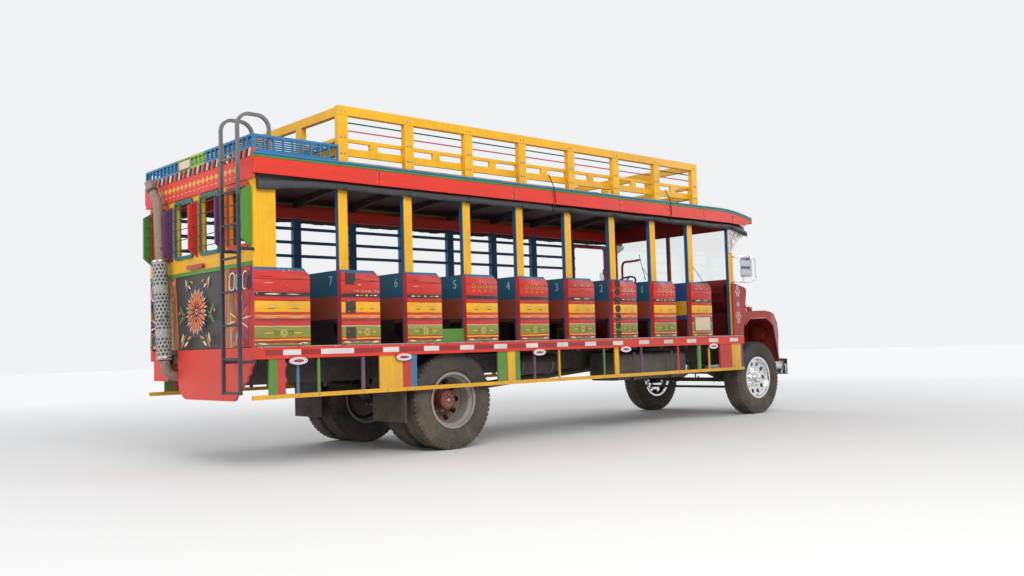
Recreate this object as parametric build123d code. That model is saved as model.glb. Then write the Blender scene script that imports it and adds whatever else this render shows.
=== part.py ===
from build123d import *
import math
import os

# Chiva bus: a wooden open-sided body with nine benches on a conventional truck chassis.
# Millimetres. +X is forward, +Y is the bus's left, +Z is up. Origin: on the floor, below the
# middle of the bus's length and width.

# Chassis and wheels
wheelbase = 5760.0
rear_axle_x = -2022.0
tyre_radius = 525.0
tyre_width = 280.0
tyre_shoulder = 34.0
tyre_wall = 22.0
front_tyre_inset = 201.0        # from the posts' outer faces to the tyre's middle
rear_tyre_inset = 166.0
twin_spacing = 335.0
rim_seat_radius = 286.0
rim_lip_radius = 303.0
rim_half_width = 122.0
rim_well_radius = 258.0
rim_thickness = 10.0
frame_tyre_gap = 84.0           # from the inner tyres to the frame rails
frame_rail_flange = 80.0
frame_rail_web = 10.0
frame_bottom = 775.0
frame_depth = 230.0
frame_rear_x = -4230.0
frame_front_x = 4425.0
crossmember_count = 11
crossmember_depth = 90.0
crossmember_width = 60.0

# Body
rear_overhang = 2356.0          # rear axle to the rear wall's outer face
bay = 790.0                     # from one post to the next
post_count = 8
first_post_back = 1375.0        # first post behind the rear axle
post_width = 105.0
post_depth = 60.0
front_post_ahead = 5025.0       # rear axle to the front post's rear face
front_post_depth = 50.0
half_width = 1155.0             # to the posts' outer faces
panel_thickness = 25.0
bearer_depth = 95.0
bearer_width = 70.0
deck_thickness = 45.0
rail_depth = 115.0
rail_thickness = 70.0
belt_height = 1880.0            # top of the bench ends and of the lower walls
cant_drop = 242.0               # from the roof's edge to the cant rail's underside
cant_depth = 130.0
wall_thickness = 40.0
bench_depth = 400.0             # post centre to the bench's front edge
bench_corner = 70.0
seat_height = 1560.0
seat_thickness = 40.0
back_thickness = 35.0
back_bottom = 1390.0
rear_bench_front = 580.0        # rear wall to the last bench's front edge
leg_thickness = 30.0
guard_bar_count = 3
guard_bar_drop = 125.0
guard_bar_pitch = 165.0

# Side skirts
strip_bottom = 660.0
strip_depth = 40.0
strip_rear = 2382.0             # behind the rear axle
strip_front = 5275.0            # ahead of the rear axle
strip_thickness = 25.0
# slats: start and end, from the rear axle
skirt_slats = [(-2215, -2051), (-1925, -1900), (-1699, -1675), (-1201, -1165), (-987, -526),
               (591, 924), (1143, 1170), (1548, 1570), (2329, 2350), (2532, 2606), (3027, 3053),
               (3780, 3800), (4213, 4279), (4460, 4480), (4713, 5265)]

# Rear
rear_window_bottom = 2100.0
rear_window_head = 45.0         # below the cant rail
# windows: inner edge and outer edge, from the centre line
rear_windows = [(105, 490), (700, 1090)]
rear_skirt_bottom = 640.0
rear_skirt_end = 500.0
rear_skirt_thickness = 25.0
fin_depth = 95.0
# fins: distance from the centre line, thickness
rear_fins = [(0, 24), (595, 24), (1128, 30)]
rear_band_drop = 247.0          # below the roof's edge
rear_band_rise = 33.0           # above the roof's edge
rear_band_thickness = 24.0

# Roof
roof_overhang = 70.0            # past the posts' outer faces
roof_edge_top = 2942.0
roof_thickness = 32.0
roof_crown = 60.0
roof_flat_edge = 75.0
roof_gap = 0.6
visor_start = 4730.0            # ahead of the rear axle
visor_length = 770.0
visor_drop = 100.0
fascia_thickness = 25.0
fascia_drop = 202.0
bow_width = 50.0
bow_rise = 45.0
tarp_width = 62.0
tarp_hang = 45.0                # below the cant rail's underside
tarp_rise = 95.0

# Roof rack
rack_first_back = 1400.0
rack_bay = 803.0
rack_post_width = 112.0
rack_post_depth = 60.0
rack_height = 558.0             # above the roof's edge
rack_top_depth = 90.0
rack_top_width = 70.0
rack_rail_thickness = 30.0
rack_low_rise = 76.0
rack_low_depth = 75.0
rack_thin_rise = 216.0
rack_thin_depth = 35.0
rack_block_width = 95.0
rack_end_post_y = 420.0
batten_height = 22.0
batten_width = 85.0
rear_rack_height = 130.0        # above the rear band
rear_rack_rail = 22.0
rear_rack_thickness = 22.0
baluster_width = 14.0
baluster_pitch = 92.0

# Ladder and exhaust
ladder_y = -1020.0
ladder_half_width = 165.0
ladder_back = 150.0             # from the rear wall to the rails' centre line
ladder_rail = 30.0
ladder_bottom = 715.0
rung_pitch = 308.0
rung_count = 8
hoop_rise = 348.0               # above the roof's edge
hoop_radius = 120.0
stack_back = 100.0
stack_radius = 50.0
stack_shield_radius = 74.0
stack_bend_drop = 242.0         # the stack's upper bend, below the roof's edge
stack_tip_drop = 7.0            # the stack's end, below the roof's edge
muffler_radius = 105.0
muffler_offset = 170.0          # from the frame to the muffler's axis
engine_side_gap = 70.0
front_pipe_radius = 28.0
muffler_length = 700.0

# Front
firewall_ahead = 5190.0
firewall_thickness = 30.0
bracket_head = 45.0             # below the cant rail
cowl_front_low = 5285.0
cowl_front_high = 5400.0
cowl_top = 1893.0
windscreen_ahead = 5135.0
windscreen_depth = 40.0
windscreen_member = 60.0
glass_thickness = 6.0
hood_rear = 5420.0
hood_front = 6300.0
hood_rear_half = 600.0
hood_front_half = 520.0
hood_rear_top = 1790.0
hood_front_top = 1700.0
hood_bottom = 1512.0
hood_skin = 22.0
hood_radius = 110.0
hood_lean = 64.0                # how far the hood's lower front corner is set back
fender_inner = 590.0
fender_skin = 22.0
headlamp_y = 800.0
headlamp_z = 1180.0
headlamp_radius = 112.0
bumper_front = 6590.0
bumper_depth = 115.0
bumper_bottom = 545.0
bumper_height = 240.0

# Steering
kingpin_inset = 164.0           # from the tyre's middle to the kingpin
kingpin_radius = 20.0
turning_gap = 0.3
spindle_radius = 32.0
rear_spindle_radius = 48.0
arm_back = 180.0
arm_pin_radius = 12.0
tie_rod_z = 392.0
tie_rod_radius = 18.0
steering_wheel_x = 4755.0       # ahead of the rear axle
steering_wheel_y = 610.0
steering_wheel_z = 1965.0
steering_wheel_radius = 220.0
steering_tilt = 50.0
column_radius = 26.0

# Driver's door
door_gap = 8.0
door_thickness = 40.0
door_head = 65.0                # below the cant rail
door_sill = 1905.0
door_frame = 55.0
hinge_radius = 14.0
hinge_pin = 6.0
hinge_length = 90.0

# Fuel tank: rear end and front end ahead of the rear axle, inner side, gap to the body's side
tank_rear = 2720.0
tank_front = 4080.0
tank_inner_y = 560.0
tank_inset = 95.0
tank_bottom = 610.0
tank_top = 960.0
tank_radius = 70.0
tank_straps = (3000.0, 3760.0)
flap_back = 640.0               # mud flap behind the rear axle
flap_inset = 35.0
flap_inner_y = 520.0
flap_bottom = 330.0

# Places worked out from the sizes above
axle_z = tyre_radius
front_tyre_y = half_width - front_tyre_inset
rear_tyre_y = half_width - rear_tyre_inset
kingpin_y = front_tyre_y - kingpin_inset
frame_outer = rear_tyre_y - twin_spacing - tyre_width / 2 - frame_tyre_gap
frame_rail_y = frame_outer - frame_rail_flange
engine_half = frame_rail_y - engine_side_gap
front_pipe_y = frame_outer + frame_tyre_gap / 2
muffler_y = frame_outer + muffler_offset
cant_bottom = roof_edge_top - cant_drop
door_top = cant_bottom - door_head
rear_window_top = cant_bottom - rear_window_head
bracket_top = cant_bottom - bracket_head
fascia_bottom = roof_edge_top - fascia_drop
tarp_bottom = cant_bottom - tarp_hang
tarp_top = cant_bottom + tarp_rise
rack_top = roof_edge_top + rack_height
rack_low_bottom = roof_edge_top + rack_low_rise
rack_thin_bottom = roof_edge_top + rack_thin_rise
hoop_top = roof_edge_top + hoop_rise
roof_half_width = half_width + roof_overhang
rear_band_bottom = roof_edge_top - rear_band_drop
rear_band_top = roof_edge_top + rear_band_rise
rear_rack_top = rear_band_top + rear_rack_height
front_axle_x = rear_axle_x + wheelbase
frame_top = frame_bottom + frame_depth
deck_bottom = frame_top + bearer_depth
deck_top = deck_bottom + deck_thickness
rail_bottom = deck_top - rail_depth
rear_x = rear_axle_x - rear_overhang
panel_outer = half_width + panel_thickness
rail_outer = panel_outer + 8
rail_inner = rail_outer - rail_thickness
front_post_x = rear_axle_x + front_post_ahead
post_x = [rear_axle_x - first_post_back + bay * k for k in range(post_count)]
rack_x = [rear_axle_x - rack_first_back + rack_bay * k for k in range(post_count)]
roof_tip_x = rear_axle_x + visor_start + visor_length
visor_x = rear_axle_x + visor_start
firewall_x = rear_axle_x + firewall_ahead
windscreen_x = rear_axle_x + windscreen_ahead
fascia_outer = roof_half_width + fascia_thickness
roof_arc_half = roof_half_width - roof_flat_edge
door_rear_x = post_x[-1] + post_width / 2 + door_gap
door_front_x = front_post_x - door_gap
nose_top = hood_front_top - 6


def block(x, y, z):
    """A box between pairs of limits."""
    return Pos(x[0], y[0], z[0]) * Box(x[1] - x[0], y[1] - y[0], z[1] - z[0], align=(Align.MIN,) * 3)


def rod(start, end, radius):
    """A straight round bar between two points."""
    a, b = Vector(*start), Vector(*end)
    plane = Plane(origin=a, z_dir=(b - a).normalized())
    return extrude(plane * Circle(radius), amount=(b - a).length)


def plate_y(edges, y):
    """An outline drawn in X and Z, made solid from y[0] to y[1]."""
    face = make_face(edges)
    return Pos(0, y[0], 0) * extrude(face, amount=y[1] - y[0], dir=(0, 1, 0))


def polygon_y(points, y):
    return plate_y(Polyline(*[(px, 0, pz) for px, pz in points], close=True), y)


def polygon_x(points, x):
    face = make_face(Polyline(*[(0, py, pz) for py, pz in points], close=True))
    return Pos(x[0], 0, 0) * extrude(face, amount=x[1] - x[0], dir=(1, 0, 0))


def bent_tube(points, radius, bends):
    """A round bar along straight runs joined by tangent arcs."""
    path = FilletPolyline(*points, radius=bends)
    return sweep(Plane(origin=path @ 0, z_dir=path % 0) * Circle(radius), path)


def left_of(shape):
    return mirror(shape, about=Plane.XZ)


def both_sides(shapes):
    return shapes + [left_of(shape) for shape in shapes]


def save(name, solids):
    flat = []
    for shape in solids:
        flat += list(shape.solids())
    export_step(Compound(flat), f"parts/{name}.step")


def crown_edges(z_edge, half, rise):
    """The roof's crown as an arc across the bus."""
    return ThreePointArc((0, -half, z_edge), (0, 0, z_edge + rise), (0, half, z_edge))


# Wheels

def tyre_section():
    """Half outline of a tyre in (radius, width), from bead to bead."""
    w = tyre_width / 2
    bead = rim_seat_radius + turning_gap
    bead_half = rim_half_width - 14
    tread_half = w - tyre_shoulder
    belly = bead + 124
    rise = tyre_radius - tyre_shoulder
    pieces = [Line((bead, -bead_half), (bead + 22, -bead_half)),
              ThreePointArc((bead + 22, -bead_half), (belly, -w), (rise, -w + 14)),
              ThreePointArc((rise, -w + 14), (tyre_radius - 9, -w + 24), (tyre_radius, -tread_half)),
              Line((tyre_radius, -tread_half), (tyre_radius, tread_half)),
              ThreePointArc((tyre_radius, tread_half), (tyre_radius - 9, w - 24), (rise, w - 14)),
              ThreePointArc((rise, w - 14), (belly, w), (bead + 22, bead_half)),
              Line((bead + 22, bead_half), (bead, bead_half)),
              Line((bead, bead_half), (bead, bead_half - tyre_wall)),
              Line((bead, bead_half - tyre_wall), (bead, -bead_half + tyre_wall)),
              Line((bead, -bead_half + tyre_wall), (bead, -bead_half))]
    return pieces


def turned(section, x, y, outward):
    """A section of (radius, width) edges turned about the wheel's axis; outward is -1 or 1."""
    face = make_face(section)
    solid = revolve(face, axis=Axis.Y)
    if outward < 0:
        solid = mirror(solid, about=Plane.XZ)
    return Pos(x, y, axle_z) * solid


def polygon_section(points):
    return Polyline(*points, close=True)


def make_tyre(x, y):
    return turned(tyre_section(), x, y, 1)


# rim, then how far the disc is welded from the rim's middle, how far its bolted face is, and the weld's radius
rim_discs = {"front": (60.0, 34.0, 251.0), "rear": (-95.0, -twin_spacing / 2, 277.0)}
disc_hole_radius = 31.0
disc_hole_circle = 205.0
disc_hole_count = 10
disc_thickness = 14.0


def make_rim(x, y, outward, disc):
    """Barrel, disc with a ring of holes, and their bore."""
    t = rim_thickness
    lip, seat, well, half = rim_lip_radius, rim_seat_radius, rim_well_radius, rim_half_width
    barrel = [(seat, -half + 8), (lip, -half + 3), (lip, -half), (seat - t, -half), (seat - t, -half + 26),
              (well - t, -half + 58), (well - t, half - 58), (seat - t, half - 26), (seat - t, half),
              (lip, half), (lip, half - 3), (seat, half - 8), (seat, half - 30),
              (well, half - 60), (well, -half + 60), (seat, -half + 30)]
    ring = turned(polygon_section(barrel), x, y, outward)
    weld, bolted, reach = disc
    d = disc_thickness
    dish = [(90, bolted), (140, bolted), (242, weld - 9), (reach, weld - 9), (reach, weld + 7), (238, weld + 7),
            (136, bolted + d), (90, bolted + d)]
    plate = turned(polygon_section(dish), x, y, outward)
    for k in range(disc_hole_count):
        angle = 2 * math.pi * k / disc_hole_count
        px = x + disc_hole_circle * math.cos(angle)
        pz = axle_z + disc_hole_circle * math.sin(angle)
        plate -= rod((px, y - 180, pz), (px, y + 180, pz), disc_hole_radius)
    return ring + plate


def front_hub(side):
    """Hub with its cap and the brake drum behind the disc."""
    s = rim_discs["front"][1]
    bore = spindle_radius + turning_gap
    shape = [(bore, s - 118), (195, s - 118), (195, s - 1), (92, s - 1), (92, s + 34), (70, s + 40), (66, s + 92),
             (52, s + 104), (0, s + 104), (0, s + 34), (bore, s + 34)]
    return turned(polygon_section(shape), front_axle_x, side * front_tyre_y, side)


def rear_hub(side):
    """Hub and drum of the twin wheel, measured from the outer tyre's middle."""
    s = rim_discs["rear"][1]
    bore = rear_spindle_radius + turning_gap
    shape = [(bore, s - 218), (215, s - 218), (215, s - 95), (112, s - 82), (112, s + 30), (95, s + 36),
             (95, s + 188), (74, s + 202), (0, s + 202), (0, s + 90), (bore, s + 90)]
    return turned(polygon_section(shape), rear_axle_x, side * rear_tyre_y, side)


def make_wheels():
    for name, side in (("left", 1), ("right", -1)):
        save(f"tyre_front_{name}", [make_tyre(front_axle_x, side * front_tyre_y)])
        rim = make_rim(front_axle_x, side * front_tyre_y, side, rim_discs["front"])
        save(f"rim_front_{name}", [rim + front_hub(side)])
        inner_y = side * (rear_tyre_y - twin_spacing)
        save(f"tyres_rear_{name}", [make_tyre(rear_axle_x, side * rear_tyre_y), make_tyre(rear_axle_x, inner_y)])
        outer = make_rim(rear_axle_x, side * rear_tyre_y, side, rim_discs["rear"])
        inner = make_rim(rear_axle_x, inner_y, -side, rim_discs["rear"])
        save(f"rims_rear_{name}", [outer + rear_hub(side) + inner])


# Chassis

def channel(y_outer):
    """A frame rail: a channel open towards the middle."""
    web = (y_outer - frame_rail_web, y_outer)
    solid = block((frame_rear_x, frame_front_x), web, (frame_bottom, frame_top))
    for z in ((frame_bottom, frame_bottom + frame_rail_web), (frame_top - frame_rail_web, frame_top)):
        solid += block((frame_rear_x, frame_front_x), (y_outer - frame_rail_flange, y_outer), z)
    return solid


def make_frame():
    y_outer = frame_rail_y + frame_rail_flange
    frame = channel(y_outer) + left_of(channel(y_outer))
    span = frame_front_x - frame_rear_x - crossmember_width
    engine_zone = (front_axle_x - 560, front_axle_x + 420)
    for k in range(crossmember_count):
        x = frame_rear_x + span * k / (crossmember_count - 1)
        if engine_zone[0] < x < engine_zone[1]:
            continue
        z = (frame_top - frame_rail_web - crossmember_depth, frame_top - frame_rail_web)
        inner = y_outer - frame_rail_web
        frame += block((x, x + crossmember_width), (-inner, inner), z)
    save("chassis_frame", [frame])


spring_y = frame_rail_y + frame_rail_flange / 2
spring_width = 70.0
# springs: axle centre, half length, height of the seat on the axle, thickness at the middle
springs = {"front": (front_axle_x, 590.0, axle_z - 5, 62.0), "rear": (rear_axle_x, 640.0, axle_z + 76, 84.0)}


def make_springs():
    solids = []
    for centre, half, seat, thick in springs.values():
        eye_z = frame_bottom - 62
        top = ThreePointArc((centre - half, 0, eye_z + 10), (centre, 0, seat + thick), (centre + half, 0, eye_z + 10))
        low_a = ThreePointArc((centre - half, 0, eye_z - 10), (centre - half * 0.5, 0, (eye_z + seat) / 2 - 20),
                              (centre - 70, 0, seat))
        low_b = ThreePointArc((centre + 70, 0, seat), (centre + half * 0.5, 0, (eye_z + seat) / 2 - 20),
                              (centre + half, 0, eye_z - 10))
        edges = [top, Line(top @ 1, low_b @ 1), low_b, Line(low_a @ 1, low_b @ 0), low_a, Line(low_a @ 0, top @ 0)]
        y = (spring_y - spring_width / 2, spring_y + spring_width / 2)
        pack = plate_y(edges, y)
        for x in (centre - half, centre + half):
            pack += block((x - 28, x + 28), y, (eye_z - 22, frame_bottom))
        solids.append(pack)
    save("leaf_springs", both_sides(solids))


def make_axles():
    beam_half = kingpin_y - 40
    drop = axle_z - 62
    outline = [(-beam_half, axle_z - 40), (-beam_half, axle_z + 40), (-560, axle_z - 5), (560, axle_z - 5),
               (beam_half, axle_z + 40), (beam_half, axle_z - 40), (560, drop), (-560, drop)]
    beam = polygon_x(outline, (front_axle_x - 42, front_axle_x + 42))
    for side in (-1, 1):
        flank = polygon_x([(-530, drop + 12), (-530, axle_z - 17), (530, axle_z - 17), (530, drop + 12)],
                          (front_axle_x + side * 12, front_axle_x + side * 60))
        beam -= flank
    for side in (-1, 1):
        y = side * kingpin_y
        beam += rod((front_axle_x, y, axle_z - 55), (front_axle_x, y, axle_z + 55), 44)
        beam -= rod((front_axle_x, y, axle_z - 80), (front_axle_x, y, axle_z + 80), kingpin_radius + turning_gap)
    save("front_axle", [beam])
    tube_end = rear_tyre_y - twin_spacing / 2 - 233
    housing = rod((rear_axle_x, -tube_end, axle_z), (rear_axle_x, tube_end, axle_z), 68)
    ends = rear_tyre_y - 90
    housing += rod((rear_axle_x, -ends, axle_z), (rear_axle_x, ends, axle_z), rear_spindle_radius)
    for side in (-1, 1):
        near, far = side * (tube_end - 10), side * tube_end
        housing += rod((rear_axle_x, near, axle_z), (rear_axle_x, far, axle_z), 200)
        pad = sorted((side * (spring_y - spring_width / 2), side * (spring_y + spring_width / 2)))
        housing += block((rear_axle_x - 70, rear_axle_x + 70), pad, (axle_z, springs["rear"][2]))
    bowl = [(0, -150), (60, -150), (170, -95), (195, 0), (170, 95), (60, 150), (0, 150)]
    housing += turned(polygon_section(bowl), rear_axle_x, 0, 1)
    housing += rod((rear_axle_x, 0, axle_z), (rear_axle_x + 330, 0, axle_z + 12), 78)
    save("rear_axle", [housing])


def make_powertrain():
    engine = block((firewall_x + 70, firewall_x + 900), (-engine_half, engine_half), (730, 1400))
    gearbox = polygon_y([(firewall_x - 40, 760), (firewall_x + 70, 740), (firewall_x + 70, 1000), (firewall_x - 40, 990),
                         (firewall_x - 420, 950), (firewall_x - 420, 790)], (-165, 165))
    joint_front = (firewall_x - 420, 0, 860)
    joint_rear = (rear_axle_x + 335, 0, axle_z + 12)
    shaft = rod(joint_front, joint_rear, 46)
    save("powertrain", [engine + gearbox + shaft])


def make_tank_and_flaps():
    outer = half_width - tank_inset
    low, top = tank_bottom, tank_top
    tank = block((rear_axle_x + tank_rear, rear_axle_x + tank_front), (-outer, -tank_inner_y), (low, top))
    tank = fillet(tank.edges().filter_by(Axis.X), tank_radius)
    for ahead in tank_straps:
        x = rear_axle_x + ahead
        strap = block((x, x + 50), (-outer - 4, -frame_rail_y - frame_rail_flange), (low - 4, top + 4))
        inner = block((x, x + 50), (-outer + 4, -tank_inner_y - 10), (low + 4, top - 4))
        tank += strap - inner
    save("fuel_tank", [tank])
    flap_x = rear_axle_x - flap_back
    outer = half_width - flap_inset
    flap = block((flap_x, flap_x + 12), (-outer, -flap_inner_y), (flap_bottom, frame_top - 40))
    arm = (-outer + 10, -frame_rail_y - frame_rail_flange)
    hanger = block((flap_x - 14, flap_x + 26), arm, (frame_top - 40, frame_top - 5))
    save("mud_flaps", both_sides([flap + hanger]))


# Floor and skirts

def make_floor():
    deck_front = firewall_x - firewall_thickness
    deck = block((rear_x + wall_thickness, deck_front), (-rail_inner, rail_inner), (deck_bottom, deck_top))
    wheel_zone = tyre_radius + 60
    count = 15
    first = rear_x + wall_thickness + 30
    last = deck_front - bearer_width - 40
    bearers = []
    for k in range(count):
        x = first + (last - first) * k / (count - 1)
        half = rail_inner
        if abs(x + bearer_width / 2 - rear_axle_x) < wheel_zone:
            half = frame_rail_y + frame_rail_flange
        if x + bearer_width > front_axle_x - tyre_radius - 60:
            half = frame_rail_y + frame_rail_flange
        bearers.append(block((x, x + bearer_width), (-half, half), (frame_top, deck_bottom)))
    save("floor_deck", [deck])
    save("floor_bearers", bearers)
    rail_front = rear_axle_x + cowl_front_low
    save("floor_rails", both_sides([block((rear_x, rail_front), (-rail_outer, -rail_inner), (rail_bottom, deck_top))]))


def make_skirts():
    strip_top = strip_bottom + strip_depth
    strip = block((rear_axle_x - strip_rear, rear_axle_x + strip_front),
                  (-panel_outer, -panel_outer + strip_thickness), (strip_bottom, strip_top))
    save("skirt_strips", both_sides([strip]))
    slats = []
    for start, end in skirt_slats:
        slats.append(block((rear_axle_x + start, rear_axle_x + end),
                           (-panel_outer + 6, -panel_outer + strip_thickness), (strip_top, rail_bottom)))
    save("skirt_slats", both_sides(slats))
    x = (rear_x + 6, rear_x + 6 + rear_skirt_thickness)
    top = deck_top - 5
    low, end, side = rear_skirt_bottom, rear_skirt_end, -rail_inner
    corner = ThreePointArc((0, end, low + 220), (0, end - 60, low + 62), (0, end - 200, low))
    edges = [Line((0, side, top), (0, end, top)), Line((0, end, top), corner @ 0), corner,
             Line(corner @ 1, (0, side, low)), Line((0, side, low), (0, side, top))]
    skirt = Pos(x[0], 0, 0) * extrude(make_face(edges), amount=x[1] - x[0], dir=(1, 0, 0))
    small = block(x, (760, -side), (low + 180, top))
    save("rear_skirt", [skirt, small])


# Rear walls

def make_rear():
    lean = 30.0
    lower = polygon_y([(rear_x + lean, deck_top), (rear_x, belt_height + 15), (rear_x + wall_thickness, belt_height + 15),
                       (rear_x + wall_thickness, deck_top)], (-half_width, half_width))
    save("rear_wall_lower", [lower])
    base = belt_height + 15
    under_edge = roof_edge_top - roof_thickness - roof_gap
    arc = crown_edges(under_edge, roof_arc_half, roof_crown)
    edges = [arc, Line((0, roof_arc_half, under_edge), (0, half_width, under_edge)),
             Line((0, half_width, under_edge), (0, half_width, base)), Line((0, half_width, base), (0, -half_width, base)),
             Line((0, -half_width, base), (0, -half_width, under_edge)),
             Line((0, -half_width, under_edge), (0, -roof_arc_half, under_edge))]
    wall = Pos(rear_x, 0, 0) * extrude(make_face(edges), amount=wall_thickness, dir=(1, 0, 0))
    for inner, outer in rear_windows:
        for side in (-1, 1):
            y = (side * inner, side * outer) if side > 0 else (side * outer, side * inner)
            hole = block((rear_x - 50, rear_x + 90), y, (rear_window_bottom, rear_window_top))
            hole = fillet(hole.edges().filter_by(Axis.X), 28)
            wall -= hole
    wall += block((rear_x - rear_band_thickness, rear_x), (-roof_half_width, roof_half_width),
                  (rear_band_bottom, rear_band_top))
    wall += block((rear_x - 14, rear_x), (-half_width, half_width), (base, base + 34))
    save("rear_wall_upper", [wall])
    fins = []
    for y, thick in rear_fins:
        top, low = rear_window_top - 10, rear_window_bottom + 10
        outline = [(rear_x, low - 45), (rear_x - fin_depth, low + 35), (rear_x - fin_depth, top - 60), (rear_x, top)]
        fin = polygon_y(outline, (y - thick / 2, y + thick / 2))
        fins.append(fin)
        if y:
            fins.append(left_of(fin))
    save("rear_fins", fins)


# Sides

def make_sides():
    solids = []
    inner = half_width - post_depth
    for x in post_x:
        solids.append(block((x - post_width / 2, x + post_width / 2), (-half_width, -inner), (deck_top, cant_bottom)))
    solids.append(block((front_post_x, front_post_x + post_width), (-half_width, -half_width + front_post_depth),
                        (deck_top, cant_bottom)))
    solids.append(block((rear_x, rear_x + 230), (-panel_outer, -half_width), (belt_height, cant_bottom)))
    fixed = both_sides(solids)
    fixed[-2] += door_pins()
    save("side_posts", fixed)
    ends = [bench_end(rear_x, rear_x + rear_bench_front)]
    for x in post_x:
        ends.append(bench_end(x - post_width / 2 - 3, x + bench_depth))
    save("bench_ends", ends)
    wall = block((rear_x, post_x[-1] + post_width / 2), (half_width, panel_outer), (deck_top, belt_height))
    bars = []
    for k in range(guard_bar_count):
        z = cant_bottom - guard_bar_drop - guard_bar_pitch * k
        bars.append(block((rear_x + wall_thickness, post_x[-1] + post_width / 2), (inner - 25, inner), (z - 18, z + 18)))
    save("left_side", [wall] + bars)


def bench_end(start, end):
    c = bench_corner
    return polygon_y([(start, deck_top), (end, deck_top), (end, belt_height - c), (end - c, belt_height),
                      (start, belt_height)], (-panel_outer, -half_width))


def make_benches():
    inner = half_width - post_depth
    backs = []
    for x in post_x:
        rear = x - post_width / 2
        backs.append(block((rear, rear + back_thickness), (-inner, inner), (back_bottom, belt_height)))
    save("bench_backs", backs)
    seats, legs = [], []
    # benches: rear edge, front edge, where the seat widens to the sides
    places = [(rear_x + wall_thickness, rear_x + rear_bench_front - 15, rear_x + wall_thickness)]
    for x in post_x:
        places.append((x - post_width / 2 + back_thickness, x + bench_depth - 15, x + post_width / 2))
    for start, end, wide_from in places:
        z = (seat_height - seat_thickness, seat_height)
        left = inner if start > post_x[-1] - post_width else half_width
        seat = block((start, end), (-inner, inner), z) + block((wide_from, end), (-half_width, left), z)
        for y in (-0.96 * inner, -0.33 * inner, 0.33 * inner, 0.96 * inner):
            legs.append(block((start, end - 30), (y - leg_thickness / 2, y + leg_thickness / 2), (deck_top, z[0])))
        seats.append(seat)
    wheel_gap = (post_x[1] + bench_depth + 10, post_x[2] - post_width / 2 - 10)
    legs += both_sides([block(wheel_gap, (-half_width + 10, -500), (deck_top, deck_top + 145))])
    save("bench_seats", seats)
    save("bench_legs", legs)


# Roof

def roof_path(z):
    """The roof's side view: level, then an arc that falls to the visor's tip."""
    radius = (visor_length ** 2 + visor_drop ** 2) / (2 * visor_drop)
    angle = math.asin(visor_length / radius)
    mid = (visor_x + radius * math.sin(angle / 2), 0, z - radius * (1 - math.cos(angle / 2)))
    tip = (visor_x + visor_length, 0, z - visor_drop)
    return Line((rear_x, 0, z), (visor_x, 0, z)), ThreePointArc((visor_x, 0, z), mid, tip)


def roof_fall(x):
    """How far the roof has dropped at a station along the bus."""
    radius = (visor_length ** 2 + visor_drop ** 2) / (2 * visor_drop)
    ahead = max(0.0, x - visor_x)
    return radius - math.sqrt(radius ** 2 - ahead ** 2)


def crown_z(y):
    """How far the crown's arc stands above the roof's edge."""
    if abs(y) >= roof_arc_half:
        return 0.0
    radius = (roof_arc_half ** 2 + roof_crown ** 2) / (2 * roof_crown)
    return roof_crown - radius + math.sqrt(radius ** 2 - y ** 2)


def make_roof():
    top, under = roof_edge_top, roof_edge_top - roof_thickness
    a, w = roof_arc_half, roof_half_width
    upper, lower = crown_edges(top, a, roof_crown), crown_edges(under, a, roof_crown)
    edges = [upper, Line((0, a, top), (0, w, top)), Line((0, w, top), (0, w, under)), Line((0, w, under), (0, a, under)),
             lower, Line((0, -a, under), (0, -w, under)), Line((0, -w, under), (0, -w, top)),
             Line((0, -w, top), (0, -a, top))]
    section = Pos(rear_x, 0, 0) * make_face(edges)
    level, fall = roof_path(top)
    path = Wire(level.edges() + fall.edges())
    deck = sweep(section, path)
    save("roof_deck", [deck])
    bows = []
    cant_top = cant_bottom + cant_depth
    seat = half_width - post_depth
    for x in post_x + [front_post_x + 35]:
        z_under = roof_edge_top - roof_thickness - roof_gap - roof_fall(x + bow_width / 2)
        arc = crown_edges(z_under, roof_arc_half, roof_crown)
        low = ThreePointArc((0, -seat, cant_top), (0, 0, z_under + roof_crown - bow_rise), (0, seat, cant_top))
        ends = [Line(arc @ 1, (0, roof_arc_half, cant_top)), Line((0, roof_arc_half, cant_top), low @ 1),
                Line(low @ 0, (0, -roof_arc_half, cant_top)), Line((0, -roof_arc_half, cant_top), arc @ 0)]
        face = make_face([arc, low] + ends)
        bows.append(Pos(x - bow_width / 2, 0, 0) * extrude(face, amount=bow_width, dir=(1, 0, 0)))
    save("roof_bows", bows)
    fascia_level = roof_path(roof_edge_top - 6)
    level, fall = fascia_level
    start_x = rear_x - rear_band_thickness
    tip = fall @ 1
    tip_low = (tip.X - 12, 0, tip.Z - 62)
    board = [Line((start_x, 0, level.position_at(0).Z), level @ 1), fall, Line(tip, tip_low),
             Line(tip_low, (tip.X - 160, 0, fascia_bottom - 20)),
             Line((tip.X - 160, 0, fascia_bottom - 20), (visor_x + 240, 0, fascia_bottom)),
             Line((visor_x + 240, 0, fascia_bottom), (start_x, 0, fascia_bottom)),
             Line((start_x, 0, fascia_bottom), (start_x, 0, level.position_at(0).Z))]
    fascia = plate_y(board, (-fascia_outer, -roof_half_width))
    cant = block((rear_x + wall_thickness, windscreen_x - windscreen_depth / 2), (-half_width, -half_width + post_depth),
                 (cant_bottom, cant_top))
    save("roof_edge_boards", both_sides([fascia, cant]))
    y0 = -half_width - turning_gap
    tarp = block((rear_x + 240, roof_tip_x - 300), (y0 - tarp_width, y0), (tarp_bottom, tarp_top))
    tarp = fillet(tarp.edges().filter_by(Axis.X), tarp_width / 2 - 1)
    save("tarp_rolls", both_sides([tarp]))


# Rack

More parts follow.
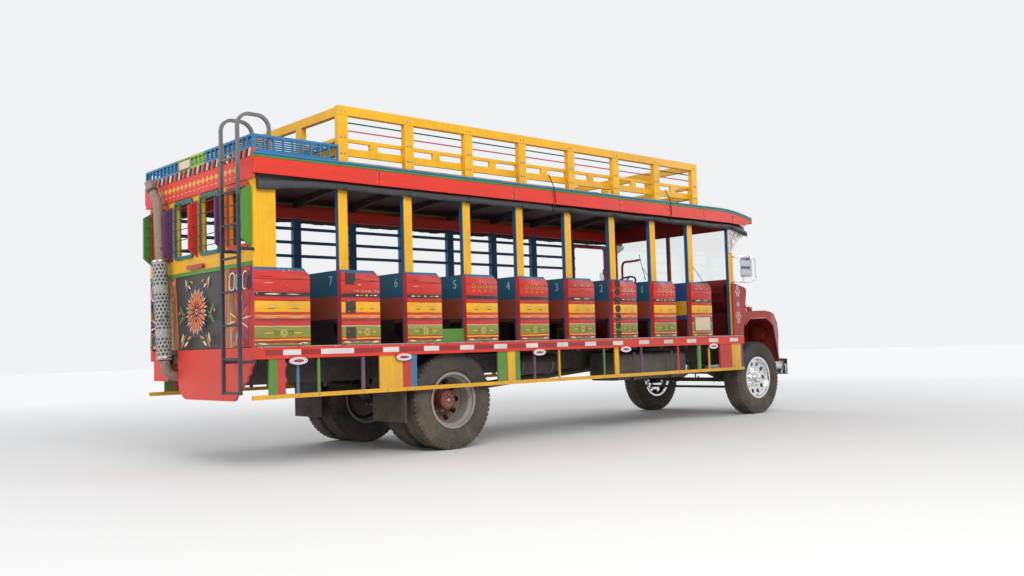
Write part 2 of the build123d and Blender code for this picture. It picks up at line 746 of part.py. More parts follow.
def make_rack():
    z_foot, z_top = roof_edge_top, rack_top - rack_top_depth
    outer, inner = roof_half_width, roof_half_width - rack_post_depth
    posts = []
    for x in rack_x:
        posts.append(block((x - rack_post_width / 2, x + rack_post_width / 2), (-outer, -inner), (z_foot, z_top)))
    save("rack_posts", both_sides(posts))
    start, end = rack_x[0] - rack_post_width / 2, rack_x[-1] + rack_post_width / 2
    top = block((start, end), (-outer - 5, -outer - 5 + rack_top_width), (z_top, rack_top))
    half_end = 30
    x = (rack_x[0] + half_end, rack_x[-1] - half_end)
    y = (-inner, -inner + rack_rail_thickness)
    low_top = rack_low_bottom + rack_low_depth
    lattice = block(x, y, (rack_low_bottom, low_top))
    lattice += block(x, y, (rack_thin_bottom, rack_thin_bottom + rack_thin_depth))
    for k in range(post_count - 1):
        for centre in (rack_x[k], rack_x[k] + rack_bay / 2):
            a = max(x[0], centre - rack_block_width / 2)
            lattice += block((a, centre + rack_block_width / 2), y, (low_top, rack_thin_bottom))
    lattice += block((rack_x[-1] - rack_block_width / 2, x[1]), y, (low_top, rack_thin_bottom))
    save("rack_rails", both_sides([top, lattice]))
    ends = []
    span = (-outer - 5 + rack_top_width, outer + 5 - rack_top_width)
    for centre in (rack_x[0], rack_x[-1]):
        ex = (centre - half_end, centre + half_end)
        frame = block(ex, span, (z_top, rack_top))
        frame += block(ex, (-inner, inner), (rack_low_bottom, low_top))
        frame += block(ex, (-inner, inner), (rack_thin_bottom, rack_thin_bottom + rack_thin_depth))
        for py in (-rack_end_post_y, rack_end_post_y):
            frame += block(ex, (py - rack_post_width / 2, py + rack_post_width / 2), (rack_low_bottom, rack_top))
        ends.append(frame)
    save("rack_ends", ends)
    battens = []
    for k in range(2 * post_count - 1):
        centre = rack_x[0] + rack_bay * k / 2
        if centre > rack_x[-1] - 100:
            continue
        arc_top = crown_edges(roof_edge_top + roof_gap + batten_height, roof_arc_half, roof_crown)
        arc_low = crown_edges(roof_edge_top + roof_gap, roof_arc_half, roof_crown)
        face = make_face([arc_top, Line(arc_top @ 1, arc_low @ 1), arc_low, Line(arc_low @ 0, arc_top @ 0)])
        battens.append(Pos(centre + 60, 0, 0) * extrude(face, amount=batten_width, dir=(1, 0, 0)))
    save("roof_battens", battens)


def baluster_panel(start, end, z_low, z_high, place):
    """A railing drawn along one line: two rails and evenly spaced balusters."""
    panel = place(start, end, z_low, z_low + rear_rack_rail) + place(start, end, z_high - rear_rack_rail, z_high)
    count = int((end - start) // baluster_pitch)
    step = (end - start - baluster_width) / count
    for k in range(count + 1):
        a = start + step * k
        panel += place(a, a + baluster_width, z_low + rear_rack_rail, z_high - rear_rack_rail)
    return panel


def make_rear_rack():
    t = rear_rack_thickness
    back_x = rear_x - rear_band_thickness
    side = baluster_panel(back_x + t, rack_x[0] - rack_post_width / 2, roof_edge_top, rear_rack_top,
                          lambda a, b, z0, z1: block((a, b), (-roof_half_width, -roof_half_width + t), (z0, z1))) \
        - block((back_x - 1, rear_x), (-roof_half_width - 1, roof_half_width), (0, rear_band_top))
    back = baluster_panel(-roof_half_width, roof_half_width, rear_band_top, rear_rack_top,
                          lambda a, b, z0, z1: block((back_x, back_x + t), (a, b), (z0, z1)))
    cross_front = rack_x[0] - rack_post_width / 2
    inner = roof_half_width - t - turning_gap
    z = (rear_rack_top - rear_rack_rail, rear_rack_top)
    grid_x = (back_x + t + turning_gap, cross_front)
    grid = block((grid_x[0], grid_x[0] + t), (-inner, inner), z) + block((cross_front - t, cross_front), (-inner, inner), z)
    grid_count = int(2 * inner // baluster_pitch)
    grid_step = (2 * inner - baluster_width) / grid_count
    for k in range(1, grid_count):
        y = -inner + grid_step * k
        grid += block(grid_x, (y, y + baluster_width), (z[1] - baluster_width, z[1]))
    save("rear_rack", both_sides([side]) + [back, grid])


# Ladder and exhaust

def make_ladder():
    x = rear_x - ladder_back
    r = ladder_rail / 2
    rails = []
    for side in (-1, 1):
        y = ladder_y + side * ladder_half_width
        foot = roof_edge_top + crown_z(abs(y) - r) + roof_gap
        path = FilletPolyline((x, y, ladder_bottom), (x, y, hoop_top), (x + 320, y, hoop_top), (x + 320, y, foot),
                              radius=hoop_radius)
        rails.append(sweep(Plane(origin=path @ 0, z_dir=path % 0) * Rectangle(ladder_rail, ladder_rail), path))
    save("ladder_rails", rails)
    rungs = []
    y = (ladder_y - ladder_half_width + r, ladder_y + ladder_half_width - r)
    for k in range(rung_count):
        z = ladder_bottom + 15 + rung_pitch * k
        rungs.append(rod((x, y[0], z), (x, y[1], z), 12))
    for side in (-1, 1):
        edge = ladder_y + side * ladder_half_width
        for z in (1010, 2040):
            wall = rear_x + 6 if z < deck_top else rear_x
            rungs.append(block((x + r, wall), (edge - 12, edge + 12), (z - 14, z + 14)))
    save("ladder_rungs", rungs)


def make_exhaust():
    x = rear_x - stack_back
    muffler_x = rear_axle_x - 900
    y, z = muffler_y, frame_top - 130
    split = (rear_x + 180, 560, z)
    points = [split, (x, 560, z), (x, 585, 1200), (x, 730, roof_edge_top - stack_bend_drop),
              (x - 40, 850, roof_edge_top - stack_tip_drop)]
    pipe = bent_tube(points, stack_radius, [120, 500, 240])
    tail_turn = (rear_x + 500, 560, z)
    tail = bent_tube([(muffler_x - muffler_length, y, z), tail_turn, split], stack_radius, [400])
    shield_a, shield_b = (x, 585, 1040), (x, 694, 2092)
    shield = rod(shield_a, shield_b, stack_shield_radius) - rod(shield_a, shield_b, stack_shield_radius - 6)
    collars = [((x, 590, 1100), (x, 594, 1125)), ((x, 690, 2040), (x, 692, 2065))]
    for low, high in collars:
        shield += rod(low, high, stack_shield_radius - 5)
    muffler = rod((muffler_x - muffler_length, y, z), (muffler_x, y, z), muffler_radius)
    low = frame_bottom - front_pipe_radius - 4
    side = front_pipe_y
    front = [(muffler_x, y, z), (muffler_x + 60, y, z), (muffler_x + 200, side, z + 20),
             (firewall_x - 500, side, z + 20), (firewall_x - 200, side, low), (firewall_x + 140, side, low),
             (firewall_x + 140, engine_half, low)]
    front_pipe = bent_tube(front, front_pipe_radius, [80, 120, 200, 150, 60])
    hanger = block((muffler_x - 380, muffler_x - 340), (frame_rail_y + frame_rail_flange, y), (z - 20, z + 20))
    clamp = block((x, rear_x - rear_band_thickness), (712, 732), (rear_band_bottom + 5, rear_band_bottom + 45))
    save("exhaust_stack", [pipe + shield + clamp])
    save("exhaust_pipe", [tail + muffler + front_pipe + hanger])


# Front

def cowl_edge(z):
    """X of the cowl's slanting front edge at a height."""
    share = (z - deck_top) / (cowl_top - 95 - deck_top)
    return rear_axle_x + cowl_front_low + share * (cowl_front_high - cowl_front_low)


def make_cowl():
    low, high = rear_axle_x + cowl_front_low, rear_axle_x + cowl_front_high
    top, edge = cowl_top, front_post_x + post_width
    rear = firewall_x - firewall_thickness
    cowl = block((rear, firewall_x), (-half_width, half_width), (deck_top, top - 20))
    cowl += block((rear, firewall_x), (-rail_inner + 10, rail_inner - 10), (frame_top, deck_top))
    cowl += polygon_y([(edge, top), (high, top - 75), (high, top - 100), (edge, top - 28)], (-half_width, half_width))
    front = polygon_y([(low - 22, deck_top), (low, deck_top), (high, top - 95), (high - 22, top - 95)],
                      (-half_width, half_width))
    opening = block((firewall_x + 10, high + 10), (-hood_front_half, hood_front_half), (0, hood_rear_top - 60))
    cowl += front - opening
    side = polygon_y([(front_post_x + 35, deck_top), (low, deck_top), (high, top - 95), (high - 40, top - 62),
                      (edge + 5, top - 8), (front_post_x + 35, top - 8)], (-panel_outer, -half_width))
    cowl += side + left_of(side)
    for pin in hood_pins():
        cowl += pin
    save("cowl", [cowl])


def make_windscreen():
    m, d = windscreen_member, windscreen_depth
    x = (windscreen_x - d / 2, windscreen_x + d / 2)
    half = half_width - front_post_depth
    low, pane_top = cowl_top, cant_bottom - 40
    top = roof_edge_top - roof_thickness - roof_fall(x[1]) - 1
    arch = ThreePointArc((0, -half, top + crown_z(half)), (0, 0, top + roof_crown), (0, half, top + crown_z(half)))
    edges = [arch, Line(arch @ 1, (0, half, low)), Line((0, half, low), (0, -half, low)),
             Line((0, -half, low), arch @ 0)]
    frame = Pos(x[0], 0, 0) * extrude(make_face(edges), amount=d, dir=(1, 0, 0))
    panes = []
    for side in (-1, 1):
        y = sorted((side * 25, side * (half - m)))
        frame -= block((x[0] - 1, x[1] + 1), y, (low + m, pane_top))
        panes.append(block((windscreen_x - glass_thickness / 2, windscreen_x + glass_thickness / 2), y,
                           (low + m, pane_top)))
    save("windshield_frame", [frame])
    save("windshield_glass", panes)


def fender_outline(grow):
    """Outer outline of a front fender in X and Z, moved outward by grow."""
    a = rear_axle_x
    g = grow
    return [(a + 5290, 1290), (a + 5300, 1440 + g), (a + 5400, 1494 + g), (a + 5860, 1504 + g), (a + 6130, 1462 + g),
            (a + 6285 + g, 1330), (a + 6345 + g, 1130), (a + 6400 + g, 900), (a + 6430 + g, 740)]


def fender_arch():
    a = rear_axle_x
    return [(a + 6310, 740), (a + 6200, 1010), (a + 6080, 1280), (a + 5880, 1395), (a + 5450, 1382), (a + 5330, 1290)]


def make_fenders():
    y_out, y_in = -panel_outer + 5, -fender_inner
    outer = polygon_y(fender_outline(0) + fender_arch(), (y_out, y_out + fender_skin))
    crown = polygon_y(fender_outline(0) + fender_outline(-fender_skin)[::-1], (y_out, y_in))
    apron = polygon_y([(rear_axle_x + 5410, 1040), (rear_axle_x + 6230, 1040), (rear_axle_x + 6230, 1470),
                       (rear_axle_x + 5410, 1478)], (y_in - 14, y_in))
    shell = outer + crown + apron
    shell -= polygon_y([(front_post_x, 1000), (cowl_edge(1000), 1000), (cowl_edge(1800), 1800), (front_post_x, 1800)],
                       (-1300, -400))
    lamp_x = rear_axle_x + 6345
    lamp = (-headlamp_y, headlamp_z)
    shell += rod((lamp_x - 130, *lamp), (lamp_x + 62, *lamp), headlamp_radius)
    shell -= rod((lamp_x + 40, *lamp), (lamp_x + 63, *lamp), headlamp_radius - 20)
    corner = make_face(Polyline((rear_axle_x + 6000, y_out - 5, 0), (rear_axle_x + 6500, y_out - 5, 0),
                                (rear_axle_x + 6500, y_out + 230, 0), (rear_axle_x + 6320, y_out + 90, 0), close=True))
    shell -= extrude(corner, amount=2000, dir=(0, 0, 1))
    save("fenders", both_sides([shell]))


def make_nose():
    x = (rear_axle_x + hood_front + 8, rear_axle_x + hood_front + 48)
    half, wide = hood_front_half, fender_inner
    low, mid, top = 860.0, 1400.0, nose_top
    outline = [(-wide, low), (wide, low), (wide, mid - 30), (half, mid + 40), (half, top - 80), (half - 80, top),
               (-half + 80, top), (-half, top - 80), (-half, mid + 40), (-wide, mid - 30)]
    panel = polygon_x(outline, x)
    lean = polygon_y([(x[0] - hood_lean + 1, hood_bottom), (x[0], hood_bottom), (x[0], top)], (-half, half))
    panel += lean & polygon_x(outline, (x[0] - 100, x[0]))
    grille = (-400.0, 400.0)
    panel -= block((x[0] - 1, x[1] + 1), grille, (1040, 1600))
    for k in range(8):
        z = 1066 + 66 * k
        panel += block((x[0] + 6, x[1] - 6), grille, (z, z + 20))
    for side in (-1, 1):
        rail = sorted((side * (frame_rail_y - 2), side * (frame_rail_y + frame_rail_flange + 2)))
        panel -= block((x[0] - 1, x[1] + 1), rail, (low - 1, frame_top))
    radiator = block((x[0] - 80, x[0]), (-frame_rail_y + 4, frame_rail_y - 4), (frame_top - 60, 1640))
    save("nose_grille", [panel + radiator])
    front = rear_axle_x + bumper_front
    bumper_face = [Line((front - bumper_depth, -1130, 0), (front - bumper_depth, 1130, 0)),
                   ThreePointArc((front - bumper_depth, 1130, 0), (front - 30.8, 1045.4, 0), (front, 930, 0)),
                   Line((front, 930, 0), (front, -930, 0)),
                   ThreePointArc((front, -930, 0), (front - 30.8, -1045.4, 0), (front - bumper_depth, -1130, 0))]
    bumper = Pos(0, 0, bumper_bottom) * extrude(make_face(bumper_face), amount=bumper_height, dir=(0, 0, 1))
    hollow = block((front - bumper_depth - 1, front - 40), (-1000, 1000), (bumper_bottom + 12, bumper_bottom + bumper_height - 12))
    bumper -= hollow
    for side in (-1, 1):
        y = sorted((side * (frame_rail_y + 20), side * (frame_rail_y + frame_rail_flange)))
        bumper += block((frame_front_x, front - 39), y, (frame_bottom - 90, frame_bottom))
        bumper += block((frame_front_x - 50, frame_front_x), y, (frame_bottom - 90, frame_bottom))
    save("front_bumper", [bumper])


def make_mirrors():
    x = front_post_x + 60
    y = -half_width
    loop = bent_tube([(x, y, 2262), (x, y - 60, 2262), (x + 150, y - 195, 2275), (x + 285, y - 215, 2240),
                      (x + 285, y - 215, 1935), (x + 150, y - 195, 1890), (x, y - 60, 1908), (x, y, 1908)],
                     10, [30, 60, 40, 40, 60, 30])
    head = block((x + 70, x + 100), (y - 290, y - 110), (1965, 2245))
    head = fillet(head.edges().filter_by(Axis.X), 24)
    stay = rod((x + 92, y - 143, 1897), (x + 92, y - 143, 2270), 9)
    save("mirrors", both_sides([loop + head + stay]))
    rear, top = front_post_x, bracket_top
    profile = [(rear, top - 330), (rear + 70, top - 335), (rear + 120, top - 250), (rear + 260, top - 130),
               (rear + 400, top - 60), (rear + 435, top), (rear, top)]
    save("front_brackets", both_sides([polygon_y(profile, (-half_width - 18, -half_width))]))


def make_steering():
    c = Vector(rear_axle_x + steering_wheel_x, steering_wheel_y, steering_wheel_z)
    a = math.radians(steering_tilt)
    axis = Vector(math.cos(a), 0, -math.sin(a))
    plane = Plane(origin=c, z_dir=axis, x_dir=(0, 1, 0))
    wheel = plane * Torus(steering_wheel_radius, 14)
    for k in range(3):
        spoke = Rot(0, 0, 90 + 120 * k) * Pos(steering_wheel_radius / 2, 0, 0)
        wheel += plane * spoke * Box(steering_wheel_radius, 26, 10)
    wheel += plane * Pos(0, 0, 5) * Cylinder(40, 50)
    wheel -= plane * Pos(0, 0, 20) * Cylinder(12 + turning_gap, 60)
    save("steering_wheel", [wheel])
    column = extrude(Plane(origin=c + axis * 36, z_dir=axis) * Circle(column_radius), amount=900)
    column += extrude(Plane(origin=c - axis * 8, z_dir=axis) * Circle(12), amount=50)
    column -= block((firewall_x - firewall_thickness, firewall_x + 1500), (0, 1200), (0, 3000))
    save("steering_column", [column])


def make_lamps():
    solids = []
    for ahead in (-1925, -710, 1205, 2705, 4525):
        x = rear_axle_x + ahead
        lamp = block((x - 90, x + 90), (-panel_outer - 22, -panel_outer + 6), (rail_bottom - 46, rail_bottom))
        lamp = fillet(lamp.edges().filter_by(Axis.Y), 22)
        solids.append(lamp)
    solids = both_sides(solids)
    bar = block((rear_x - 38, rear_x), (-175, 175), (1950, 1992))
    solids.append(fillet(bar.edges().filter_by(Axis.X), 18))
    save("lamps", solids)


# Moving pieces of the steering

def make_knuckles():
    for name, side in (("left", 1), ("right", -1)):
        y = side * kingpin_y
        x = front_axle_x
        pin = rod((x, y, axle_z - 92), (x, y, axle_z + 92), kingpin_radius)
        knuckle = pin
        web = sorted((y + side * 50, y + side * 76))
        for z in ((axle_z - 92, axle_z - 60), (axle_z + 60, axle_z + 92)):
            ear = rod((x, y, z[0]), (x, y, z[1]), 42) + block((x - 42, x + 42), sorted((y, y + side * 76)), z)
            knuckle += ear
        knuckle += block((x - 42, x + 42), web, (axle_z - 92, axle_z + 92))
        spindle_end = side * (front_tyre_y + rim_discs["front"][1] + 26)
        knuckle += rod((x, y + side * 60, axle_z), (x, spindle_end, axle_z), spindle_radius)
        arm_z = (axle_z - 92, axle_z - 68)
        knuckle += block((x - arm_back, x), sorted((y - side * 24, y + side * 24)), arm_z)
        knuckle += rod((x - arm_back, y, arm_z[0]), (x - arm_back, y, arm_z[1]), 28)
        knuckle += rod((x - arm_back, y, tie_rod_z - 20), (x - arm_back, y, arm_z[0]), arm_pin_radius)
        save(f"knuckle_{name}", [knuckle])
    x = front_axle_x - arm_back
    bar = rod((x, -kingpin_y, tie_rod_z), (x, kingpin_y, tie_rod_z), tie_rod_radius)
    for side in (-1, 1):
        y = side * kingpin_y
        bar += rod((x, y, tie_rod_z - 22), (x, y, tie_rod_z + 22), 27)
        bar -= rod((x, y, tie_rod_z - 60), (x, y, tie_rod_z + 60), arm_pin_radius + turning_gap)
    save("tie_rod", [bar])


# Door and hood, with their hinges

door_hinges = [1330.0, 1760.0, 2180.0]
hinge_x = front_post_x - door_gap / 2
hinge_y = panel_outer + hinge_radius - 4


def door_pins():
    """Fixed halves on the left front post: an arm below each barrel, with its pin."""
    pins = []
    for z in door_hinges:
        pin = rod((hinge_x, hinge_y, z - 14), (hinge_x, hinge_y, z + hinge_length), hinge_pin)
        pin += rod((hinge_x, hinge_y, z - 14), (hinge_x, hinge_y, z - 0.5), hinge_pin + 3)
        pin += block((hinge_x, front_post_x + 30), (hinge_y - 6, hinge_y + 6), (z - 14, z - 0.5))
        pin += block((front_post_x + 6, front_post_x + 30), (half_width - 1, hinge_y + 6), (z - 14, z - 0.5))
        pins.append(pin)
    return pins


def make_door():
    y = (panel_outer - door_thickness, panel_outer)
    door = block((door_rear_x, door_front_x), y, (deck_top + door_gap, door_top))
    window = block((door_rear_x + door_frame, door_front_x - door_frame), (y[0] - 1, y[1] + 1),
                   (door_sill, door_top - door_frame))
    window = fillet(window.edges().filter_by(Axis.Y), 40)
    door -= window
    for z in door_hinges:
        door += rod((hinge_x, hinge_y, z), (hinge_x, hinge_y, z + hinge_length), hinge_radius)
        door += block((hinge_x - 70, hinge_x), (panel_outer - 1, panel_outer + 8), (z, z + hinge_length))
        door -= rod((hinge_x, hinge_y, z - 1), (hinge_x, hinge_y, z + hinge_length + 1), hinge_pin + turning_gap)
    handle = block((door_rear_x + 40, door_rear_x + 180), (panel_outer, panel_outer + 34), (1640, 1668))
    handle -= block((door_rear_x + 58, door_rear_x + 162), (panel_outer - 1, panel_outer + 20), (1630, 1680))
    save("driver_door", [door + handle])


hood_hinge_x = rear_axle_x + (cowl_front_high + hood_rear) / 2
hood_hinge_z = hood_rear_top + 55
hood_hinges = [-380.0, 380.0]


def hood_pins():
    """Fixed halves on the cowl: a lug beside each barrel, with its pin."""
    pins = []
    for y in hood_hinges:
        back = rear_axle_x + cowl_front_high - 45
        lug = polygon_y([(back, cowl_top - 80), (back + 40, cowl_top - 85), (hood_hinge_x + 10, hood_hinge_z - 12),
                         (hood_hinge_x + 10, hood_hinge_z + 10), (back, hood_hinge_z + 10)], (y - 62, y - 50.5))
        lug += rod((hood_hinge_x, y - 62, hood_hinge_z), (hood_hinge_x, y + 50, hood_hinge_z), hinge_pin)
        pins.append(lug)
    return pins


def hood_section(x, half, top, shrink):
    """One cross-section of the hood: an arch with rounded shoulders."""
    h, t, r, low = half - shrink, top - shrink, hood_radius - shrink, hood_bottom
    crown = 34
    k = r * (1 - math.sqrt(0.5))
    edges = [Line((x, -h, low), (x, -h, t - r)),
             ThreePointArc((x, -h, t - r), (x, -h + k, t - k), (x, -h + r, t)),
             ThreePointArc((x, -h + r, t), (x, 0, t + crown), (x, h - r, t)),
             ThreePointArc((x, h - r, t), (x, h - k, t - k), (x, h, t - r)),
             Line((x, h, t - r), (x, h, low)), Line((x, h, low), (x, -h, low))]
    return make_face(edges)


def make_hood():
    x0, x1 = rear_axle_x + hood_rear, rear_axle_x + hood_front
    outer = loft([hood_section(x0, hood_rear_half, hood_rear_top, 0),
                  hood_section(x1, hood_front_half, hood_front_top, 0)])
    inner = loft([hood_section(x0 - 1, hood_rear_half, hood_rear_top, hood_skin),
                  hood_section(x1 + 1, hood_front_half, hood_front_top, hood_skin)])
    hood = outer - inner
    lip = nose_top + 8
    hood -= polygon_y([(x1 - hood_lean, hood_bottom - 1), (x1 - 10, lip), (x1 + 1, lip), (x1 + 1, hood_bottom - 1)],
                      (-hood_front_half - 100, hood_front_half + 100))
    for y in hood_hinges:
        barrel = rod((hood_hinge_x, y - 50, hood_hinge_z), (hood_hinge_x, y + 50, hood_hinge_z), hinge_radius)
        leaf = [(hood_hinge_x, hood_hinge_z + 12), (hood_hinge_x, hood_hinge_z - 12), (x0 + 6, hood_rear_top - 4),
                (x0 + 90, hood_rear_top - 8), (x0 + 90, hood_rear_top + 18), (x0 + 20, hood_hinge_z + 4)]
        barrel += polygon_y(leaf, (y - 50, y + 50))
        barrel -= rod((hood_hinge_x, y - 60, hood_hinge_z), (hood_hinge_x, y + 60, hood_hinge_z),
                      hinge_pin + turning_gap)
        hood += barrel
    save("hood", [hood])


os.makedirs("parts", exist_ok=True)
make_wheels()
make_frame()
make_springs()
make_axles()
make_powertrain()
make_tank_and_flaps()
make_floor()
make_skirts()
make_rear()
make_sides()
make_benches()
make_roof()
make_rack()
make_rear_rack()
make_ladder()
make_exhaust()
make_cowl()
make_windscreen()
make_fenders()
make_nose()
make_mirrors()
make_steering()
make_lamps()
make_knuckles()
make_door()
make_hood()
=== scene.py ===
# %% [markdown]
# Open-sided wooden bus. The solids of the body, chassis and wheels come from the imported model and
# stay where they are. This lesson dresses them: it paints the boards, adds the small pieces that a
# workshop nails, bolts and ties on, and lights the bus at the angle of the photograph. First the
# imported model is loaded.

# %% Load the imported model
import math
import random

import bpy
from mathutils import Matrix, Vector


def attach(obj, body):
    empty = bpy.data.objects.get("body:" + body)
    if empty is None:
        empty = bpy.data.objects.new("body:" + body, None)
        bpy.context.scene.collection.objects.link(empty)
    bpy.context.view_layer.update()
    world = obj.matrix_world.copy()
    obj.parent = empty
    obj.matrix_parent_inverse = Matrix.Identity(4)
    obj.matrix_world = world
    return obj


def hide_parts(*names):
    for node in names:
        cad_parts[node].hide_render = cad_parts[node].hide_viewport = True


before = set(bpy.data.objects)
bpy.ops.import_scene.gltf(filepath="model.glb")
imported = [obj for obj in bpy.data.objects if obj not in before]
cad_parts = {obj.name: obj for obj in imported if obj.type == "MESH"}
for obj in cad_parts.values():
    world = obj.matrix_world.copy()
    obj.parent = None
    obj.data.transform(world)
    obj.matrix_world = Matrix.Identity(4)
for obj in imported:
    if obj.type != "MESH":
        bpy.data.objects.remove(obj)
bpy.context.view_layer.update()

# %% [markdown]
# The bus is measured in metres, +X forward, +Y to its left and +Z up. These are the sizes that the
# painted patterns and the small pieces refer to: the same ones that the solids were made with.

# %% Sizes of the bus
REAR_AXLE = -2.022
FRONT_AXLE = REAR_AXLE + 5.76
AXLE_Z = 0.525
FRONT_WHEEL_Y, REAR_WHEEL_Y, TWIN_STEP = 0.954, 0.989, 0.335
REAR = REAR_AXLE - 2.356
BAY = 0.79
POSTS = [REAR_AXLE - 1.375 + BAY * k for k in range(8)]
POST_HALF = 0.0525
FRONT_POST = REAR_AXLE + 5.025
POST_FACE = 1.155
PANEL_FACE = 1.18
RAIL_FACE = 1.188
BELT = 1.88
ROOF_EDGE = 2.942
ROOF_HALF = 1.225
BAND_FACE = REAR - 0.024
VISOR = REAR_AXLE + 4.73
RACK_STEP = 0.803
RACK = [REAR_AXLE - 1.4 + RACK_STEP * k for k in range(8)]
BODY = "bus"
print("wheelbase", FRONT_AXLE - REAR_AXLE, "posts from", round(POSTS[0], 3), "to", round(FRONT_POST, 3))

# %% [markdown]
# The camera stands behind the right rear corner, a little above the floor line, and looks slightly
# upward. Its place and lens were solved from the wheels and posts of the photograph. A small roll
# is turned into the camera's own axes, so the horizon tilts as it does there.

# %% Camera
EYE = Vector((-6.6523 + REAR_AXLE, -9.397, 1.0752))
AZIMUTH, ELEVATION, ROLL = (math.radians(v) for v in (-42.316, 3.4318, -1.6894))
look = Vector((-math.sin(AZIMUTH) * math.cos(ELEVATION), math.cos(AZIMUTH) * math.cos(ELEVATION), math.sin(ELEVATION)))
level = look.cross(Vector((0, 0, 1))).normalized()
above = level.cross(look)
right = level * math.cos(ROLL) + above * math.sin(ROLL)
up = above * math.cos(ROLL) - level * math.sin(ROLL)
bpy.ops.object.camera_add()
camera = bpy.context.object
camera.matrix_world = Matrix((
    (right.x, up.x, -look.x, EYE.x),
    (right.y, up.y, -look.y, EYE.y),
    (right.z, up.z, -look.z, EYE.z),
    (0, 0, 0, 1)))
PICTURE_WIDTH, FOCAL_PIXELS = 1024, 984.06
camera.data.sensor_width = 36.0
camera.data.lens = FOCAL_PIXELS / PICTURE_WIDTH * camera.data.sensor_width
camera.data.clip_end = 200.0
bpy.context.scene.camera = camera
print("lens", round(camera.data.lens, 2))

# %% [markdown]
# Floor, lamps and finishes are all shader nodes. One helper adds a node with its inputs given by
# name, and the others stand for a sum, a blend, a range, a noise or the shaded point's place.

# %% Tools for shader nodes


def add_node(tree, kind, settings=None, **sockets):
    """A shader node with its settings and its inputs given by name; underscores stand for spaces."""
    made = tree.nodes.new(kind)
    for key, value in (settings or {}).items():
        setattr(made, key, value)
    for key, value in sockets.items():
        numbered = key[0] == "n" and key[1:].isdigit()
        socket = made.inputs[int(key[1:]) if numbered else key.replace("_", " ")]
        if isinstance(value, bpy.types.NodeSocket):
            tree.links.new(value, socket)
        else:
            socket.default_value = value
    return made


def math_node(tree, operation, a, b=0.0, clamp=False):
    """One sum; less and more put out 1 where they hold."""
    return add_node(tree, "ShaderNodeMath", {"operation": operation, "use_clamp": clamp}, n0=a, n1=b).outputs[0]


def total(tree, a, b, clamp=False):
    return math_node(tree, "ADD", a, b, clamp)


def minus(tree, a, b):
    return math_node(tree, "SUBTRACT", a, b)


def less(tree, a, b):
    return math_node(tree, "LESS_THAN", a, b)


def more(tree, a, b):
    return math_node(tree, "GREATER_THAN", a, b)


def product(tree, a, b, clamp=False):
    return math_node(tree, "MULTIPLY", a, b, clamp)


def distance(tree, a, b):
    """How far a point is from the origin of two directions."""
    return math_node(tree, "SQRT", total(tree, product(tree, a, a), product(tree, b, b)))


def mix_colour(tree, factor, a, b, blend="MIX"):
    made = add_node(tree, "ShaderNodeMix", {"data_type": "RGBA", "blend_type": blend}, n0=factor, n6=a, n7=b)
    return made.outputs[2]


def fade(tree, value, low, high, start=0.0, end=1.0):
    """start at low, end at high, and a straight blend between."""
    made = add_node(tree, "ShaderNodeMapRange", {"clamp": True}, Value=value, From_Min=low, From_Max=high,
                    To_Min=start, To_Max=end)
    return made.outputs[0]


def noise(tree, where, scale, detail, roughness=0.5):
    """Cloudy values between 0 and 1."""
    made = add_node(tree, "ShaderNodeTexNoise", Vector=where, Scale=scale, Detail=detail, Roughness=roughness)
    return made.outputs["Fac"]


def place(tree):
    """The X, Y and Z of the shaded point, in metres, and all three together."""
    where = add_node(tree, "ShaderNodeTexCoord").outputs["Object"]
    return add_node(tree, "ShaderNodeSeparateXYZ", n0=where).outputs, where


def outward(tree):
    """The three parts of the direction in which the shaded face looks."""
    normal = add_node(tree, "ShaderNodeTexCoord").outputs["Normal"]
    return add_node(tree, "ShaderNodeSeparateXYZ", n0=normal).outputs


def rgba(colour):
    return (*colour, 1.0)


print("node tools: sums, blends, ranges, noise and places")

# %% [markdown]
# A studio keeps the colours honest: a wide pale floor, a pale world, and soft lamps as large as
# doors. The world shows white to the camera and to reflections, and lights the bus more dimly.
# Away from the bus the floor fades into a glow of the world's own colour, so no horizon shows.

# %% Floor, world and lamps
HAZE = (0.87, 0.885, 0.90)
scene = bpy.context.scene
scene.view_settings.view_transform = "Standard"
world = bpy.data.worlds.new("pale studio")
scene.world = world
world.use_nodes = True
tree = world.node_tree
tree.nodes.clear()
path = add_node(tree, "ShaderNodeLightPath").outputs
bent = math_node(tree, "MAXIMUM", path["Is Glossy Ray"], path["Is Transmission Ray"])
seen = math_node(tree, "MAXIMUM", path["Is Camera Ray"], bent)
lit = add_node(tree, "ShaderNodeBackground", Color=(0.92, 0.95, 1.0, 1), Strength=0.62)
shown = add_node(tree, "ShaderNodeBackground", Color=rgba(HAZE), Strength=1.0)
both = add_node(tree, "ShaderNodeMixShader", n0=seen, n1=lit.outputs[0], n2=shown.outputs[0])
add_node(tree, "ShaderNodeOutputWorld", Surface=both.outputs[0])

bpy.ops.mesh.primitive_plane_add(size=160)
floor = bpy.context.object
floor.name = "studio_floor"
pale = bpy.data.materials.new("studio floor")
pale.use_nodes = True
tree, surface = pale.node_tree, pale.node_tree.nodes["Principled BSDF"]
parts, _ = place(tree)
far = fade(tree, distance(tree, parts["X"], parts["Y"]), 6.5, 17.0)
tree.links.new(mix_colour(tree, far, (0.74, 0.74, 0.73, 1), (0.02, 0.02, 0.02, 1)), surface.inputs["Base Color"])
tree.links.new(mix_colour(tree, far, (0, 0, 0, 1), rgba(HAZE)), surface.inputs["Emission Color"])
surface.inputs["Emission Strength"].default_value = 1.0
surface.inputs["Roughness"].default_value = 0.85
surface.inputs["Specular IOR Level"].default_value = 0.1
floor.data.materials.append(pale)


